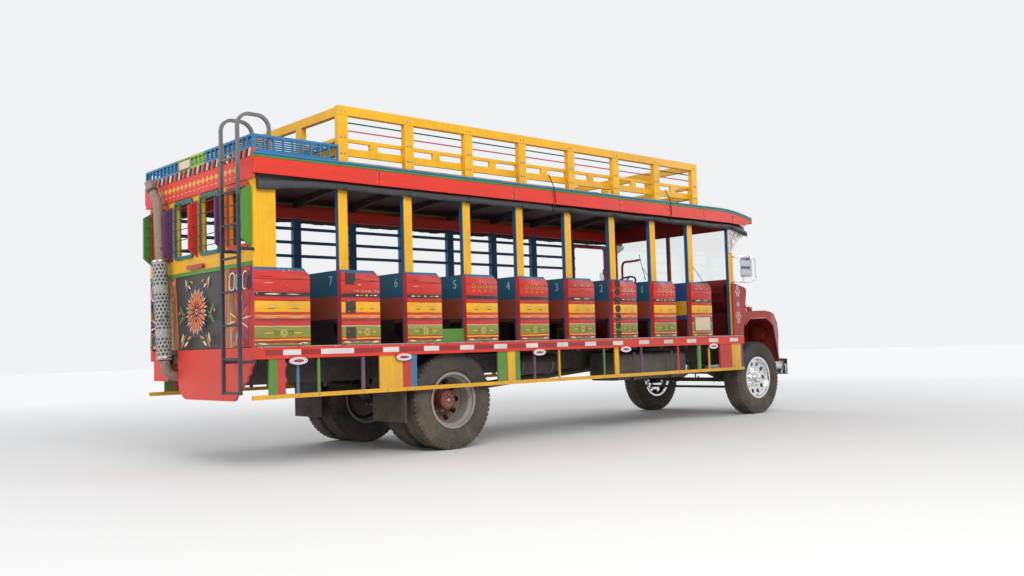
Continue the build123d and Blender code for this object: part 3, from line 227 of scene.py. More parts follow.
def soft_lamp(name, at, towards, size, watts, tint):
    bpy.ops.object.light_add(type="AREA", location=at)
    lamp = bpy.context.object
    lamp.name = name
    lamp.data.shape = "RECTANGLE"
    lamp.data.size, lamp.data.size_y = size
    lamp.data.energy = watts
    lamp.data.color = tint
    lamp.rotation_euler = (Vector(towards) - Vector(at)).to_track_quat("-Z", "Y").to_euler()


soft_lamp("key", (-7, -11, 9), (0, 0, 1.5), (9, 5), 1150, (1.0, 0.97, 0.93))
soft_lamp("rear", (-15, 3, 6), (-3, 0, 1.6), (7, 5), 520, (0.95, 0.97, 1.0))
soft_lamp("left", (5, 14, 8), (0, 0, 1.5), (10, 5), 500, (0.97, 0.98, 1.0))
soft_lamp("front", (14, -6, 7), (2, 0, 1.5), (7, 5), 450, (1.0, 0.98, 0.96))

# %% [markdown]
# Painted boards are the heart of this bus: enamel brushed over planks, with grain showing through
# it, chips down to older paint, and grime. The effect is used by many finishes, so it is a shader
# group with named inputs. It puts out colour, roughness and height, and each material has its own
# Principled shader.

# %% Shader group for painted boards


def new_group(name, inputs, outputs):
    group = bpy.data.node_groups.new(name, "ShaderNodeTree")
    for key, kind, value in inputs:
        socket = group.interface.new_socket(key, in_out="INPUT", socket_type="NodeSocket" + kind)
        socket.default_value = value
    for key, kind in outputs:
        group.interface.new_socket(key, in_out="OUTPUT", socket_type="NodeSocket" + kind)
    return group, add_node(group, "NodeGroupInput").outputs, add_node(group, "NodeGroupOutput").inputs


boards, given, result = new_group(
    "painted boards",
    [("Paint", "Color", (0.8, 0.1, 0.05, 1)), ("Under", "Color", (0.25, 0.16, 0.1, 1)),
     ("Stretch", "Vector", (1, 1, 1)), ("Wear", "Float", 0.3), ("Grime", "Float", 0.3), ("Gloss", "Float", 0.38)],
    [("Color", "Color"), ("Roughness", "Float"), ("Height", "Float")])
where = add_node(boards, "ShaderNodeTexCoord").outputs["Object"]
along = add_node(boards, "ShaderNodeVectorMath", {"operation": "MULTIPLY"}, n0=where, n1=given["Stretch"]).outputs[0]
grain = noise(boards, along, 62.0, 5.0, 0.62)
streak = noise(boards, along, 17.0, 4.0, 0.6)
patch = noise(boards, where, 2.3, 5.0, 0.65)
speck = noise(boards, where, 34.0, 3.0, 0.7)
chance = total(boards, product(boards, streak, 0.55), product(boards, speck, 0.45))
limit = fade(boards, given["Wear"], 0.0, 1.0, 0.72, 0.50)
chip = fade(boards, minus(boards, chance, limit), 0.0, 0.035)
tired = mix_colour(boards, fade(boards, patch, 0.35, 0.75, 0.0, 0.34), given["Paint"],
                   mix_colour(boards, 1.0, given["Paint"], (0.60, 0.55, 0.52, 1), "MULTIPLY"))
tired = mix_colour(boards, fade(boards, grain, 0.30, 0.75, 0.16, 0.0), tired, (0.02, 0.015, 0.012, 1))
dirty = product(boards, fade(boards, patch, 0.42, 0.72), given["Grime"])
tired = mix_colour(boards, product(boards, dirty, 0.55), tired, (0.11, 0.085, 0.06, 1))
boards.links.new(mix_colour(boards, chip, tired, given["Under"]), result["Color"])
rough = total(boards, given["Gloss"], product(boards, dirty, 0.30))
rough = total(boards, rough, product(boards, chip, 0.28))
boards.links.new(total(boards, rough, product(boards, grain, 0.10), clamp=True), result["Roughness"])
relief = minus(boards, product(boards, grain, 0.35), product(boards, chip, 0.5))
boards.links.new(relief, result["Height"])
print("group", boards.name, len(boards.nodes), "nodes")

# %% [markdown]
# Dust climbs from the road: thick below the floor, thin at the belt, and it lies on what faces up.
# It is a second group, which paint, rubber, chrome and iron share.

# %% Shader group for road dust
dusting, given, result = new_group(
    "road dust",
    [("Color", "Color", (0.5, 0.5, 0.5, 1)), ("Roughness", "Float", 0.5), ("Amount", "Float", 0.5),
     ("Clean Height", "Float", 1.6)],
    [("Color", "Color"), ("Roughness", "Float")])
parts, where = place(dusting)
lowness = fade(dusting, math_node(dusting, "DIVIDE", parts["Z"], given["Clean Height"]), 0.0, 1.0, 1.0, 0.0)
cloud = noise(dusting, where, 3.1, 7.0, 0.68)
normal = add_node(dusting, "ShaderNodeNewGeometry").outputs["Normal"]
upward = fade(dusting, add_node(dusting, "ShaderNodeSeparateXYZ", n0=normal).outputs["Z"], 0.25, 1.0, 0.0, 0.55)
cover = math_node(dusting, "MAXIMUM", lowness, upward)
cover = product(dusting, product(dusting, cover, fade(dusting, cloud, 0.30, 0.72)), given["Amount"], clamp=True)
dusting.links.new(mix_colour(dusting, cover, given["Color"], (0.33, 0.255, 0.18, 1)), result["Color"])
rough = total(dusting, given["Roughness"], product(dusting, cover, 0.4), clamp=True)
dusting.links.new(rough, result["Roughness"])
print("group", dusting.name, len(dusting.nodes), "nodes")

# %% [markdown]
# Every finish below is a Principled shader fed by those groups. A helper builds one from a colour,
# or from a function that works the colour out from the place on the bus, which is how one board
# can carry many painted bands.

# %% Finishes from the groups
BARE = (0.21, 0.135, 0.085)


def use_group(tree, group, **sockets):
    return add_node(tree, "ShaderNodeGroup", {"node_tree": group}, **sockets).outputs


def new_finish(name):
    material = bpy.data.materials.new(name)
    material.use_nodes = True
    return material, material.node_tree, material.node_tree.nodes["Principled BSDF"]


def raised(tree, shader, height, strength, depth):
    """Relief that only the light sees."""
    bump = add_node(tree, "ShaderNodeBump", Strength=strength, Distance=depth, Height=height)
    tree.links.new(bump.outputs[0], shader.inputs["Normal"])


def finish_with(tree, shader, colour, roughness, height, bump, depth, dust, clean):
    """Dust the colour up to the clean height, raise the relief, and link it all to the shader."""
    outputs = use_group(tree, dusting, Color=colour, Roughness=roughness, Amount=dust, Clean_Height=clean)
    tree.links.new(outputs["Color"], shader.inputs["Base Color"])
    tree.links.new(outputs["Roughness"], shader.inputs["Roughness"])
    raised(tree, shader, height, bump, depth)


def painted(name, paint, under=BARE, stretch=(0.06, 1, 1), wear=0.25, grime=0.3, gloss=0.36, dust=0.25, clean=1.7):
    """Brushed enamel on boards. paint is a colour, or a function of the node tree that returns one."""
    material, tree, shader = new_finish(name)
    outputs = use_group(tree, boards, Paint=rgba(paint) if isinstance(paint, tuple) else paint(tree), Under=rgba(under),
                        Stretch=stretch, Wear=wear, Grime=grime, Gloss=gloss)
    finish_with(tree, shader, outputs["Color"], outputs["Roughness"], outputs["Height"], 0.25, 0.003, dust, clean)
    shader.inputs["Specular IOR Level"].default_value = 0.42
    return material


def bands(tree, value, steps, low, high):
    """Hard-edged colours along a value; steps are (where each begins, colour)."""
    made = add_node(tree, "ShaderNodeValToRGB")
    tree.links.new(fade(tree, value, low, high), made.inputs[0])
    ramp = made.color_ramp
    ramp.interpolation = "CONSTANT"
    while len(ramp.elements) < len(steps):
        ramp.elements.new(1.0)
    for element, (start, colour) in zip(ramp.elements, steps):
        element.position = max(0.0, (start - low) / (high - low))
        element.color = rgba(colour)
    return made.outputs[0]


RED = (0.60, 0.028, 0.020)
ORANGE_RED = (0.74, 0.032, 0.014)
DARK_RED = (0.30, 0.020, 0.018)
YELLOW = (0.88, 0.45, 0.006)
BLUE = (0.010, 0.115, 0.27)
LIGHT_BLUE = (0.020, 0.19, 0.40)
NAVY = (0.012, 0.022, 0.06)
GREEN = (0.075, 0.27, 0.030)
OLIVE = (0.23, 0.27, 0.035)
PURPLE = (0.11, 0.035, 0.14)
TEAL = (0.005, 0.14, 0.13)
SALMON = (0.72, 0.19, 0.07)
CREAM = (0.75, 0.66, 0.45)
BLACK = (0.014, 0.014, 0.018)

yellow_paint = painted("yellow enamel", YELLOW, stretch=(1, 1, 0.05), wear=0.12, grime=0.22)
red_paint = painted("red enamel", RED, wear=0.15)
orange_red_paint = painted("orange red enamel", ORANGE_RED, wear=0.16, grime=0.2)
light_blue_paint = painted("light blue enamel", LIGHT_BLUE, under=(0.12, 0.05, 0.02), wear=0.35)
green_paint = painted("green enamel", GREEN, stretch=(1, 1, 0.05), wear=0.2)
dark_wood = painted("dark worn boards", (0.060, 0.040, 0.028), under=(0.10, 0.07, 0.05), wear=0.5, gloss=0.6, grime=0.6)
brown_wood = painted("brown worn boards", (0.17, 0.095, 0.05), stretch=(1, 0.06, 1), wear=0.5, gloss=0.6, grime=0.6)
print("finishes so far", len(bpy.data.materials))

# %% [markdown]
# Metal, rubber, lacquer and cloth need other shaders. Dusty iron and rubber are rough and dark, chrome
# and polished steel are metallic with a faint haze, and the exhaust is steel browned by heat.

# %% Metal, rubber and cloth finishes


def metal(name, colour, roughness, dust=0.2, patina=None, patina_at=(0.45, 0.7), scale=9.0):
    """Bare metal with clouds in its gloss; a patina is a second colour, in patches."""
    material, tree, shader = new_finish(name)
    cloud = noise(tree, place(tree)[1], scale, 7.0, 0.65)
    if patina:
        base = mix_colour(tree, fade(tree, cloud, *patina_at), rgba(colour), rgba(patina))
    else:
        base = mix_colour(tree, fade(tree, cloud, 0.3, 0.7, 0.0, 0.25), rgba(colour), rgba([v * 0.7 for v in colour]))
    rough = fade(tree, cloud, 0.3, 0.7, roughness * 0.8, min(1.0, roughness * 1.35))
    finish_with(tree, shader, base, rough, cloud, 0.12, 0.002, dust, 1.2)
    shader.inputs["Metallic"].default_value = 1.0
    return material


def coated(name, colour, roughness=0.45, dust=0.4, clean=1.4, bump=0.2, scale=30.0):
    """A plain dark coat: oily iron, rubber or moulded plastic."""
    material, tree, shader = new_finish(name)
    cloud = noise(tree, place(tree)[1], scale, 6.0, 0.7)
    tone = mix_colour(tree, fade(tree, cloud, 0.3, 0.7), rgba(colour), rgba([v * 0.55 for v in colour]))
    rough = fade(tree, cloud, 0.3, 0.7, roughness, min(1.0, roughness + 0.2))
    finish_with(tree, shader, tone, rough, cloud, bump, 0.003, dust, clean)
    return material


chrome = metal("chrome", (0.80, 0.80, 0.82), 0.10, dust=0.12)
steel = metal("dull steel", (0.42, 0.41, 0.40), 0.36, patina=(0.20, 0.10, 0.06), patina_at=(0.52, 0.72))
rusty = metal("browned steel", (0.30, 0.24, 0.20), 0.42, dust=0.0, patina=(0.16, 0.075, 0.035), scale=5.0)
black_iron = coated("black iron", (0.035, 0.034, 0.034), 0.5, dust=0.65, clean=1.5)
black_paint = coated("black paint", (0.016, 0.017, 0.028), 0.36, dust=0.15)
rubber = coated("dusty rubber", (0.030, 0.029, 0.028), 0.72, dust=0.55, clean=1.5, bump=0.35, scale=55.0)
black_plastic = coated("black plastic", (0.022, 0.022, 0.024), 0.4, dust=0.1)
maroon = painted("maroon enamel", (0.20, 0.025, 0.025), wear=0.2, gloss=0.32, dust=0.35)
white_paint = painted("white enamel", (0.72, 0.70, 0.66), wear=0.12)
cream_paint = painted("cream enamel", CREAM, wear=0.15)

glass, tree, shader = new_finish("clear glass")
shader.inputs["Base Color"].default_value = (0.93, 0.96, 0.96, 1)
shader.inputs["Roughness"].default_value = 0.03
shader.inputs["Transmission Weight"].default_value = 1.0
shader.inputs["IOR"].default_value = 1.45
smear = noise(tree, place(tree)[1], 4.0, 5.0)
tree.links.new(fade(tree, smear, 0.4, 0.8, 0.02, 0.16), shader.inputs["Roughness"])
print("finishes so far", len(bpy.data.materials))

# %% [markdown]
# Paint that changes with the place. A post is yellow on its outer face and blue on the others. The
# roof's edge board is red with a green and a blue moulding, and both drop with the visor. The
# benches' sides are planks in a stack of colours, and all eight follow the same stack.

# %% Paint that follows the place


def two_sided(tree, limit, outer, inner):
    parts, _ = place(tree)
    side = more(tree, math_node(tree, "ABSOLUTE", parts["Y"]), limit)
    return mix_colour(tree, side, rgba(inner), rgba(outer))


def fascia_colours(tree):
    parts, _ = place(tree)
    ahead = math_node(tree, "MAXIMUM", minus(tree, parts["X"], VISOR), 0.0)
    fall = math_node(tree, "DIVIDE", product(tree, ahead, ahead), 6.03)
    height = total(tree, parts["Z"], fall)
    return bands(tree, height, [(2.6, ORANGE_RED), (2.887, GREEN), (2.907, LIGHT_BLUE)], 2.6, 3.0)


STACK = [(1.10, (0.10, 0.08, 0.04)), (1.155, OLIVE), (1.170, DARK_RED), (1.200, YELLOW), (1.212, RED), (1.222, OLIVE),
         (1.322, CREAM), (1.332, RED), (1.375, DARK_RED), (1.402, SALMON), (1.428, YELLOW), (1.434, RED),
         (1.462, YELLOW), (1.565, RED), (1.603, DARK_RED), (1.612, BLACK), (1.650, RED), (1.853, BLUE)]


def stack_colours(tree):
    """The painted planks: hard bands, with a hand-drawn wobble in their edges."""
    parts, where = place(tree)
    wave = noise(tree, where, 7.0, 4.0)
    height = total(tree, parts["Z"], product(tree, minus(tree, wave, 0.5), 0.012))
    return bands(tree, height, STACK, 1.10, 1.90)


def bench_colours(tree):
    """The stack on the outer face, orange red on the edge that faces the rear."""
    behind = less(tree, outward(tree)["X"], -0.5)
    return mix_colour(tree, behind, stack_colours(tree), rgba(ORANGE_RED))


def post_colours(tree):
    parts, _ = place(tree)
    low = product(tree, less(tree, parts["Z"], BELT), less(tree, parts["X"], FRONT_POST - 0.01))
    return mix_colour(tree, low, two_sided(tree, POST_FACE - 0.0015, YELLOW, BLUE),
                      two_sided(tree, 1.124, ORANGE_RED, BLUE))


def back_colours_and_shade(tree):
    """Blue over brick red over near-black, which is painted shade under the seat; the driver's row is blue, yellow and
    blue.
    """
    parts, _ = place(tree)
    # the lowest, near-black band stands for the shade under the seat: painted shade
    plain = [(1.3, (0.012, 0.02, 0.03)), (1.40, (0.33, 0.055, 0.025)), (1.625, (0.008, 0.105, 0.20))]
    bright = [(1.3, (0.008, 0.07, 0.30)), (1.44, YELLOW), (1.63, (0.008, 0.07, 0.30))]
    driver = more(tree, parts["X"], 1.8)
    return mix_colour(tree, driver, bands(tree, parts["Z"], plain, 1.3, 1.9), bands(tree, parts["Z"], bright, 1.3, 1.9))


def rear_lower_colours(tree):
    """Across the rear wall: blue corners, red panels, green lines, salmon strips and a dark middle."""
    parts, _ = place(tree)
    return bands(tree, math_node(tree, "ABSOLUTE", parts["Y"]),
                 [(0.0, (0.045, 0.040, 0.036)), (0.520, SALMON), (0.655, YELLOW), (0.672, GREEN), (0.715, RED),
                  (1.118, (0.01, 0.06, 0.26))], 0.0, 1.2)


def rear_upper_colours(tree):
    parts, _ = place(tree)
    board = less(tree, parts["X"], REAR - 0.002)
    colours = bands(tree, parts["Z"], [(1.8, GREEN), (1.932, YELLOW), (2.69, ORANGE_RED)], 1.8, 3.0)
    return mix_colour(tree, board, bands(tree, parts["Z"], [(1.8, GREEN), (1.9325, YELLOW)], 1.8, 3.0), colours)


def slat_colours(tree):
    """One colour for each skirt slat, by its distance from the rear axle."""
    parts, _ = place(tree)
    colours = [(-2.40, GREEN), (-2.136, ORANGE_RED), (-2.0, LIGHT_BLUE), (-1.8, GREEN), (-1.4, PURPLE), (-1.05, YELLOW),
               (-0.706, ORANGE_RED), (-0.612, LIGHT_BLUE), (0.0, GREEN), (0.741, YELLOW), (0.831, GREEN), (1.0, PURPLE),
               (1.4, YELLOW), (2.0, GREEN), (2.45, YELLOW), (2.8, PURPLE), (3.4, ORANGE_RED), (4.0, GREEN),
               (4.37, YELLOW), (4.65, ORANGE_RED), (4.995, YELLOW), (5.188, PURPLE)]
    ahead = minus(tree, parts["X"], REAR_AXLE)
    return bands(tree, ahead, colours, -2.45, 5.3)


fascia_paint = painted("roof edge enamel", fascia_colours, wear=0.10, grime=0.18)
stack_paint = painted("stack of colours", bench_colours, under=(0.42, 0.33, 0.24), wear=0.52, grime=0.42)
wall_paint = painted("stack on the left wall", stack_colours, under=(0.42, 0.33, 0.24), wear=0.4, grime=0.35)
post_paint = painted("post enamel", post_colours, stretch=(1, 1, 0.05), wear=0.12, grime=0.22)
back_paint = painted("bench back enamel", back_colours_and_shade, stretch=(1, 0.06, 1), wear=0.2, grime=0.4)
rear_paint = painted("rear wall enamel", rear_lower_colours, stretch=(1, 1, 0.05), wear=0.2, grime=0.3)
rear_top_paint = painted("rear yellow enamel", rear_upper_colours, stretch=(1, 0.08, 1), wear=0.12, grime=0.22)
slat_paint = painted("slat enamel", slat_colours, stretch=(1, 1, 0.05), wear=0.22, grime=0.35, dust=0.5)
print("painted stack of", len(STACK), "bands; finishes so far", len(bpy.data.materials))

# %% [markdown]
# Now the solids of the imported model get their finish. Assigning to the material slot repaints a
# solid without touching its shape. The few that need a finish of their own, such as the rear fins or
# the ladder, are repainted in the cell where their details are made.

# %% Repaint the solids


def repaint(finish, *names):
    for name in names:
        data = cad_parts[name].data
        if not data.materials:
            data.materials.append(finish)
        for k in range(len(data.materials)):
            data.materials[k] = finish


repaint(black_iron, "chassis_frame", "front_axle", "rear_axle", "leaf_springs", "powertrain", "fuel_tank",
        "knuckle_left", "knuckle_right", "tie_rod")
repaint(rubber, "mud_flaps")
repaint(dark_wood, "floor_deck", "floor_bearers", "bench_seats", "roof_bows")
repaint(brown_wood, "roof_battens")
repaint(orange_red_paint, "floor_rails")
repaint(yellow_paint, "skirt_strips", "rack_posts", "rack_rails", "rack_ends")
repaint(slat_paint, "skirt_slats")
repaint(rear_paint, "rear_wall_lower")
repaint(rear_top_paint, "rear_wall_upper")
repaint(post_paint, "side_posts")
repaint(stack_paint, "bench_ends")
repaint(wall_paint, "left_side")
repaint(back_paint, "bench_backs")
repaint(fascia_paint, "roof_edge_boards")
repaint(rusty, "exhaust_pipe")
repaint(chrome, "mirrors", "rim_front_left", "rim_front_right")
repaint(white_paint, "front_brackets")
repaint(glass, "windshield_glass")
repaint(black_plastic, "steering_wheel", "steering_column")
body_paint = painted("body lacquer", (0.36, 0.018, 0.018), under=(0.12, 0.05, 0.04), wear=0.06, gloss=0.22, dust=0.3)
repaint(body_paint, "cowl", "fenders", "hood", "driver_door", "nose_grille", "windshield_frame")
print("solids of the packed model", len(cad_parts))

# %% [markdown]
# The pieces that follow are added by operators, as by hand. A few small tools keep that short: each
# one selects nothing first, adds a shape at its size and place, and writes that place into the
# mesh, so that every piece's own origin stays at the bus's origin.

# %% Tools for shapes


def fresh():
    """Leave edit mode and select nothing."""
    if bpy.context.object and bpy.context.object.mode != "OBJECT":
        bpy.ops.object.mode_set(mode="OBJECT")
    bpy.ops.object.select_all(action="DESELECT")


def pick(piece):
    fresh()
    piece.select_set(True)
    bpy.context.view_layer.objects.active = piece


def edit(operation, **settings):
    """Run one edit-mode operator on the whole of the active piece."""
    bpy.ops.object.mode_set(mode="EDIT")
    bpy.ops.mesh.select_all(action="SELECT")
    operation(**settings)
    bpy.ops.object.mode_set(mode="OBJECT")


def apply_place():
    """Write the active piece's place, turn and size into its mesh."""
    bpy.ops.object.transform_apply(location=True, rotation=True, scale=True)


def settled(finish, smooth=35):
    piece = bpy.context.object
    apply_place()
    if finish:
        piece.data.materials.append(finish)
    if smooth:
        bpy.ops.object.shade_smooth_by_angle(angle=math.radians(smooth))
    return piece


def box(x, y, z, finish, ease=0.003, steps=2):
    """A block between pairs of limits, with its edges eased."""
    fresh()
    middle = [(a + b) / 2 for a, b in (x, y, z)]
    bpy.ops.mesh.primitive_cube_add(size=1, location=middle)
    bpy.context.object.scale = [abs(b - a) for a, b in (x, y, z)]
    apply_place()
    if ease:
        edit(bpy.ops.mesh.bevel, offset=ease, segments=steps, affect="EDGES")
    return settled(finish)


def rod(start, end, radius, finish, sides=16, ease=0.0):
    """A round bar between two points; fewer sides make it a hexagon or a square peg."""
    fresh()
    a, b = Vector(start), Vector(end)
    bpy.ops.mesh.primitive_cone_add(vertices=sides, radius1=radius, radius2=radius,
                                    depth=(b - a).length, location=(a + b) / 2,
                                    rotation=(b - a).to_track_quat("Z", "Y").to_euler())
    apply_place()
    if ease:
        edit(bpy.ops.mesh.bevel, offset=ease, segments=2, affect="EDGES")
    return settled(finish)


def ball(centre, radius, finish, squash=(1, 1, 1), rings=12):
    fresh()
    bpy.ops.mesh.primitive_uv_sphere_add(segments=2 * rings, ring_count=rings, radius=radius, location=centre)
    bpy.context.object.scale = squash
    return settled(finish, 60)


def closed_up(piece, smooth=35):
    """Merge doubles and turn all faces outward."""
    pick(piece)
    edit(bpy.ops.mesh.remove_doubles, threshold=0.00002)
    edit(bpy.ops.mesh.normals_make_consistent, inside=False)
    bpy.ops.object.shade_smooth_by_angle(angle=math.radians(smooth))
    return piece


def drawn(outlines, finish, thick=0.0, radius=0.0, closed=True, matrix=None, smooth=35, sides=2, curved=False):
    """Lines drawn as a curve: filled flat shapes of some thickness, or wires of some radius."""
    fresh()
    bpy.ops.object.add(type="CURVE")
    curve = bpy.context.object.data
    curve.dimensions = "2D" if thick else "3D"
    if thick:
        curve.fill_mode = "BOTH"
        curve.extrude = thick / 2
    else:
        curve.bevel_depth = radius
        curve.bevel_resolution = sides
        curve.use_fill_caps = True
        curve.resolution_u = 8
    for outline in outlines:
        spline = curve.splines.new("NURBS" if curved else "POLY")
        spline.points.add(len(outline) - 1)
        for point, spot in zip(spline.points, outline):
            point.co = (*spot, 0.0, 1.0) if len(spot) == 2 else (*spot, 1.0)
        spline.use_cyclic_u = closed
        if curved:
            spline.order_u = 3
            spline.use_endpoint_u = not closed
    bpy.ops.object.convert(target="MESH")
    piece = bpy.context.object
    if matrix:
        piece.matrix_world = matrix
    piece = settled(finish, None)
    return closed_up(piece, smooth)


def flat(outlines, finish, thick, plane):
    """Filled outlines of some thickness, lying in a plane."""
    return drawn(outlines, finish, thick=thick, matrix=plane)


def wire(line, finish, radius, sides=3, curved=False):
    """A round bar along an open line."""
    return drawn([line], finish, radius=radius, closed=False, sides=sides, curved=curved)


def turned(profile, centre, finish, outward=1, steps=48, smooth=35):
    """A profile of (radius, distance along the axle) points spun about a wheel's axle."""
    fresh()
    bpy.ops.object.add(type="CURVE")
    curve = bpy.context.object.data
    curve.dimensions = "3D"
    spline = curve.splines.new("POLY")
    spline.points.add(len(profile) - 1)
    for point, (r, w) in zip(spline.points, profile):
        point.co = (r, w * outward, 0.0, 1.0)
    bpy.ops.object.convert(target="MESH")
    piece = bpy.context.object
    edit(bpy.ops.mesh.spin, steps=steps, angle=math.tau, center=(0, 0, 0), axis=(0, 1, 0))
    piece.location = centre
    settled(finish, None)
    return closed_up(piece, smooth)


print("shapes: box, rod, ball, drawn outline, turned profile")

# %% [markdown]
# What repeats is modelled once and copied, each copy with its own mesh. A mirrored mesh is inside
# out until its normals are recalculated. Every finished piece then gets its name and its body.

# %% Tools for copies, mirror images and names


def duplicate(piece):
    """A second piece with its own mesh, left active."""
    pick(piece)
    bpy.ops.object.duplicate(linked=False)
    return bpy.context.object


def copied(piece, matrices, keep=True):
    """Copies of a piece at other places, joined into one; without keep, the first piece goes."""
    parts = [piece] if keep else []
    for matrix in matrices:
        parts.append(duplicate(piece))
        parts[-1].matrix_world = matrix
        apply_place()
    if not keep:
        bpy.data.objects.remove(piece)
    return joined(parts)


def joined(parts):
    fresh()
    for part in parts:
        part.select_set(True)
    bpy.context.view_layer.objects.active = parts[0]
    if len(parts) > 1:
        bpy.ops.object.join()
    return bpy.context.object


def at(x=0.0, y=0.0, z=0.0):
    return Matrix.Translation((x, y, z))


def about(centre, axis, degrees):
    """A turn about a line through a point."""
    turn = Matrix.Rotation(math.radians(degrees), 4, axis)
    return at(*centre) @ turn @ at(*(-Vector(centre)))


def mirrored(piece):
    """The piece's mirror image on the other side of the bus, with its faces turned outward again."""
    other = duplicate(piece)
    other.matrix_world = Matrix.Scale(-1, 4, (0, 1, 0))
    apply_place()
    edit(bpy.ops.mesh.normals_make_consistent, inside=False)
    return other


def both_sides(piece):
    return joined([piece, mirrored(piece)])


def finished(piece, name, body=BODY, replaces=()):
    """Name the piece, say which body it moves with, and hide the imported solids that it replaces."""
    piece.name = name
    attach(piece, body)
    if replaces:
        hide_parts(*replaces)
    print(name, "on", body, len(piece.data.polygons), "faces")


print("pieces move with", BODY, "unless another body is named")

# %% [markdown]
# Ornaments are flat outlines: ovals, oblongs, pointed leaves and rounded rectangles. They are drawn
# in a plane that faces one side of the bus, which a matrix puts at its place.

# %% Tools for outlines


def facing(side, x=0.0, y=0.0, z=0.0):
    """The plane in which a flat shape is drawn: its first axis runs along the face, its second up."""
    axes = {"right": ((1, 0, 0), (0, 0, 1), (0, -1, 0)), "rear": ((0, -1, 0), (0, 0, 1), (-1, 0, 0)),
            "front": ((0, 1, 0), (0, 0, 1), (1, 0, 0))}[side]
    turn = Matrix([(*(axis[row] for axis in axes), 0.0) for row in range(3)] + [(0, 0, 0, 1)])
    return at(x, y, z) @ turn


def oval(u, v, ru, rv, count=16):
    return [(u + ru * math.cos(a), v + rv * math.sin(a)) for a in (math.tau * k / count for k in range(count))]


def oblong(u0, u1, v0, v1):
    return [(u0, v0), (u1, v0), (u1, v1), (u0, v1)]


def leaf(u, v, length, width, turn=0.0, count=5):
    """A lens with two pointed ends, centred on (u, v)."""
    line = [(-length / 2 + length * k / count, width / 2 * math.sin(math.pi * k / count)) for k in range(count + 1)]
    line += [(p, -q) for p, q in line[-2:0:-1]]
    c, s = math.cos(turn), math.sin(turn)
    return [(u + p * c - q * s, v + p * s + q * c) for p, q in line]


def rounded(u, v, radius, count=5):
    """A rectangle between two pairs of limits with rounded corners."""
    points = []
    for cu, cv, start in ((u[1], v[1], 0), (u[0], v[1], 90), (u[0], v[0], 180), (u[1], v[0], 270)):
        mu = cu - radius if cu == u[1] else cu + radius
        mv = cv - radius if cv == v[1] else cv + radius
        for k in range(count + 1):
            a = math.radians(start + 90 * k / count)
            points.append((mu + radius * math.cos(a), mv + radius * math.sin(a)))
    return points


print("a leaf has", len(leaf(0, 0, 1, 1)), "points")

# %% [markdown]
# Tyres first. The profile of a highway tyre is spun about the axle: sidewall with its rings, a
# crown with four grooves, and then the shoulder lugs, modelled once and copied around. The centre
# grooves zigzag, which takes moving every second ring of their points a little to one side.

# %% Tyres
TYRE_R, TREAD_HALF, LUGS = 0.525, 0.095, 60
GROOVE, ZIGZAG, ZIGZAG_STEP = 0.015, 0.0032, 3.0
LUG_HALF, LUG_IN, LUG_OUT, LUG_CORNER = 0.0205, 0.089, 0.1235, 0.112
WHEELS = {"front_left": (FRONT_AXLE, FRONT_WHEEL_Y, 1), "front_right": (FRONT_AXLE, -FRONT_WHEEL_Y, -1),
          "rear_left": (REAR_AXLE, REAR_WHEEL_Y, 1), "rear_right": (REAR_AXLE, -REAR_WHEEL_Y, -1)}


def tyre_profile():
    floor, top = TYRE_R - GROOVE, TYRE_R - 0.0008
    side = [(0.2866, 0.070), (0.2866, 0.106), (0.292, 0.1105), (0.302, 0.1105), (0.309, 0.1175), (0.316, 0.1185),
            (0.320, 0.1225), (0.331, 0.1262), (0.334, 0.1292), (0.339, 0.1294), (0.342, 0.1290), (0.372, 0.1362),
            (0.408, 0.1392), (0.440, 0.1380), (0.443, 0.1396), (0.449, 0.1394), (0.452, 0.1370), (0.470, 0.1335),
            (0.486, 0.1285), (0.497, 0.1225), (floor - 0.004, 0.114), (floor, 0.104)]
    ribs = []
    for centre, half in ((0.068, 0.0165), (0.0245, 0.0165)):
        ribs += [(floor, centre + half + 0.003), (top - 0.001, centre + half)]
        ribs += [(top, centre - half), (floor, centre - half - 0.003)]
    outer_half = side + ribs
    return outer_half + [(r, -w) for r, w in outer_half[::-1]] + [side[0]]


def make_tyre(centre):
    """A spun tyre with zigzag grooves and a ring of lugs on each shoulder."""
    tyre = turned(tyre_profile(), centre, rubber, steps=120, smooth=28)
    hub = Vector(centre)
    for vertex in tyre.data.vertices:
        off = vertex.co - hub
        if off.xz.length > TYRE_R - GROOVE - 0.003 and abs(off.y) < TREAD_HALF:
            turn = round(math.degrees(math.atan2(off.z, off.x)) / ZIGZAG_STEP)
            vertex.co.y += ZIGZAG * (1 if turn % 4 < 2 else -1)
    x, y, z = centre
    lug = box((x - LUG_HALF, x + LUG_HALF), (y + LUG_IN, y + LUG_OUT), (z + TYRE_R - 0.026, z + TYRE_R - 0.001),
              rubber, 0.004, 1)
    edit(bpy.ops.mesh.bisect, plane_co=(x, y + LUG_CORNER, z + TYRE_R), plane_no=(0, 0.85, 0.42), clear_outer=True,
         use_fill=True)
    pair = copied(lug, [about(centre, "Y", 180 / LUGS) @ about(centre, "Z", 180)])
    ring = copied(pair, [about(centre, "Y", 360 * k / LUGS) for k in range(1, LUGS)])
    return joined([tyre, ring])


first_tyre = make_tyre((FRONT_AXLE, -FRONT_WHEEL_Y, AXLE_Z))
tyre_of = {"front_right": first_tyre}
tyre_of["front_left"] = copied(duplicate(first_tyre), [at(y=2 * FRONT_WHEEL_Y)], keep=False)
for name in ("rear_left", "rear_right"):
    x, y, side = WHEELS[name]
    places = [at(x - FRONT_AXLE, y + FRONT_WHEEL_Y - side * TWIN_STEP * k) for k in range(2)]
    tyre_of[name] = copied(duplicate(first_tyre), places, keep=False)
for name, tyre in tyre_of.items():
    solid = f"tyres_{name}" if name.startswith("rear") else f"tyre_{name}"
    finished(tyre, "treaded_" + solid, "wheel_" + name, [solid])

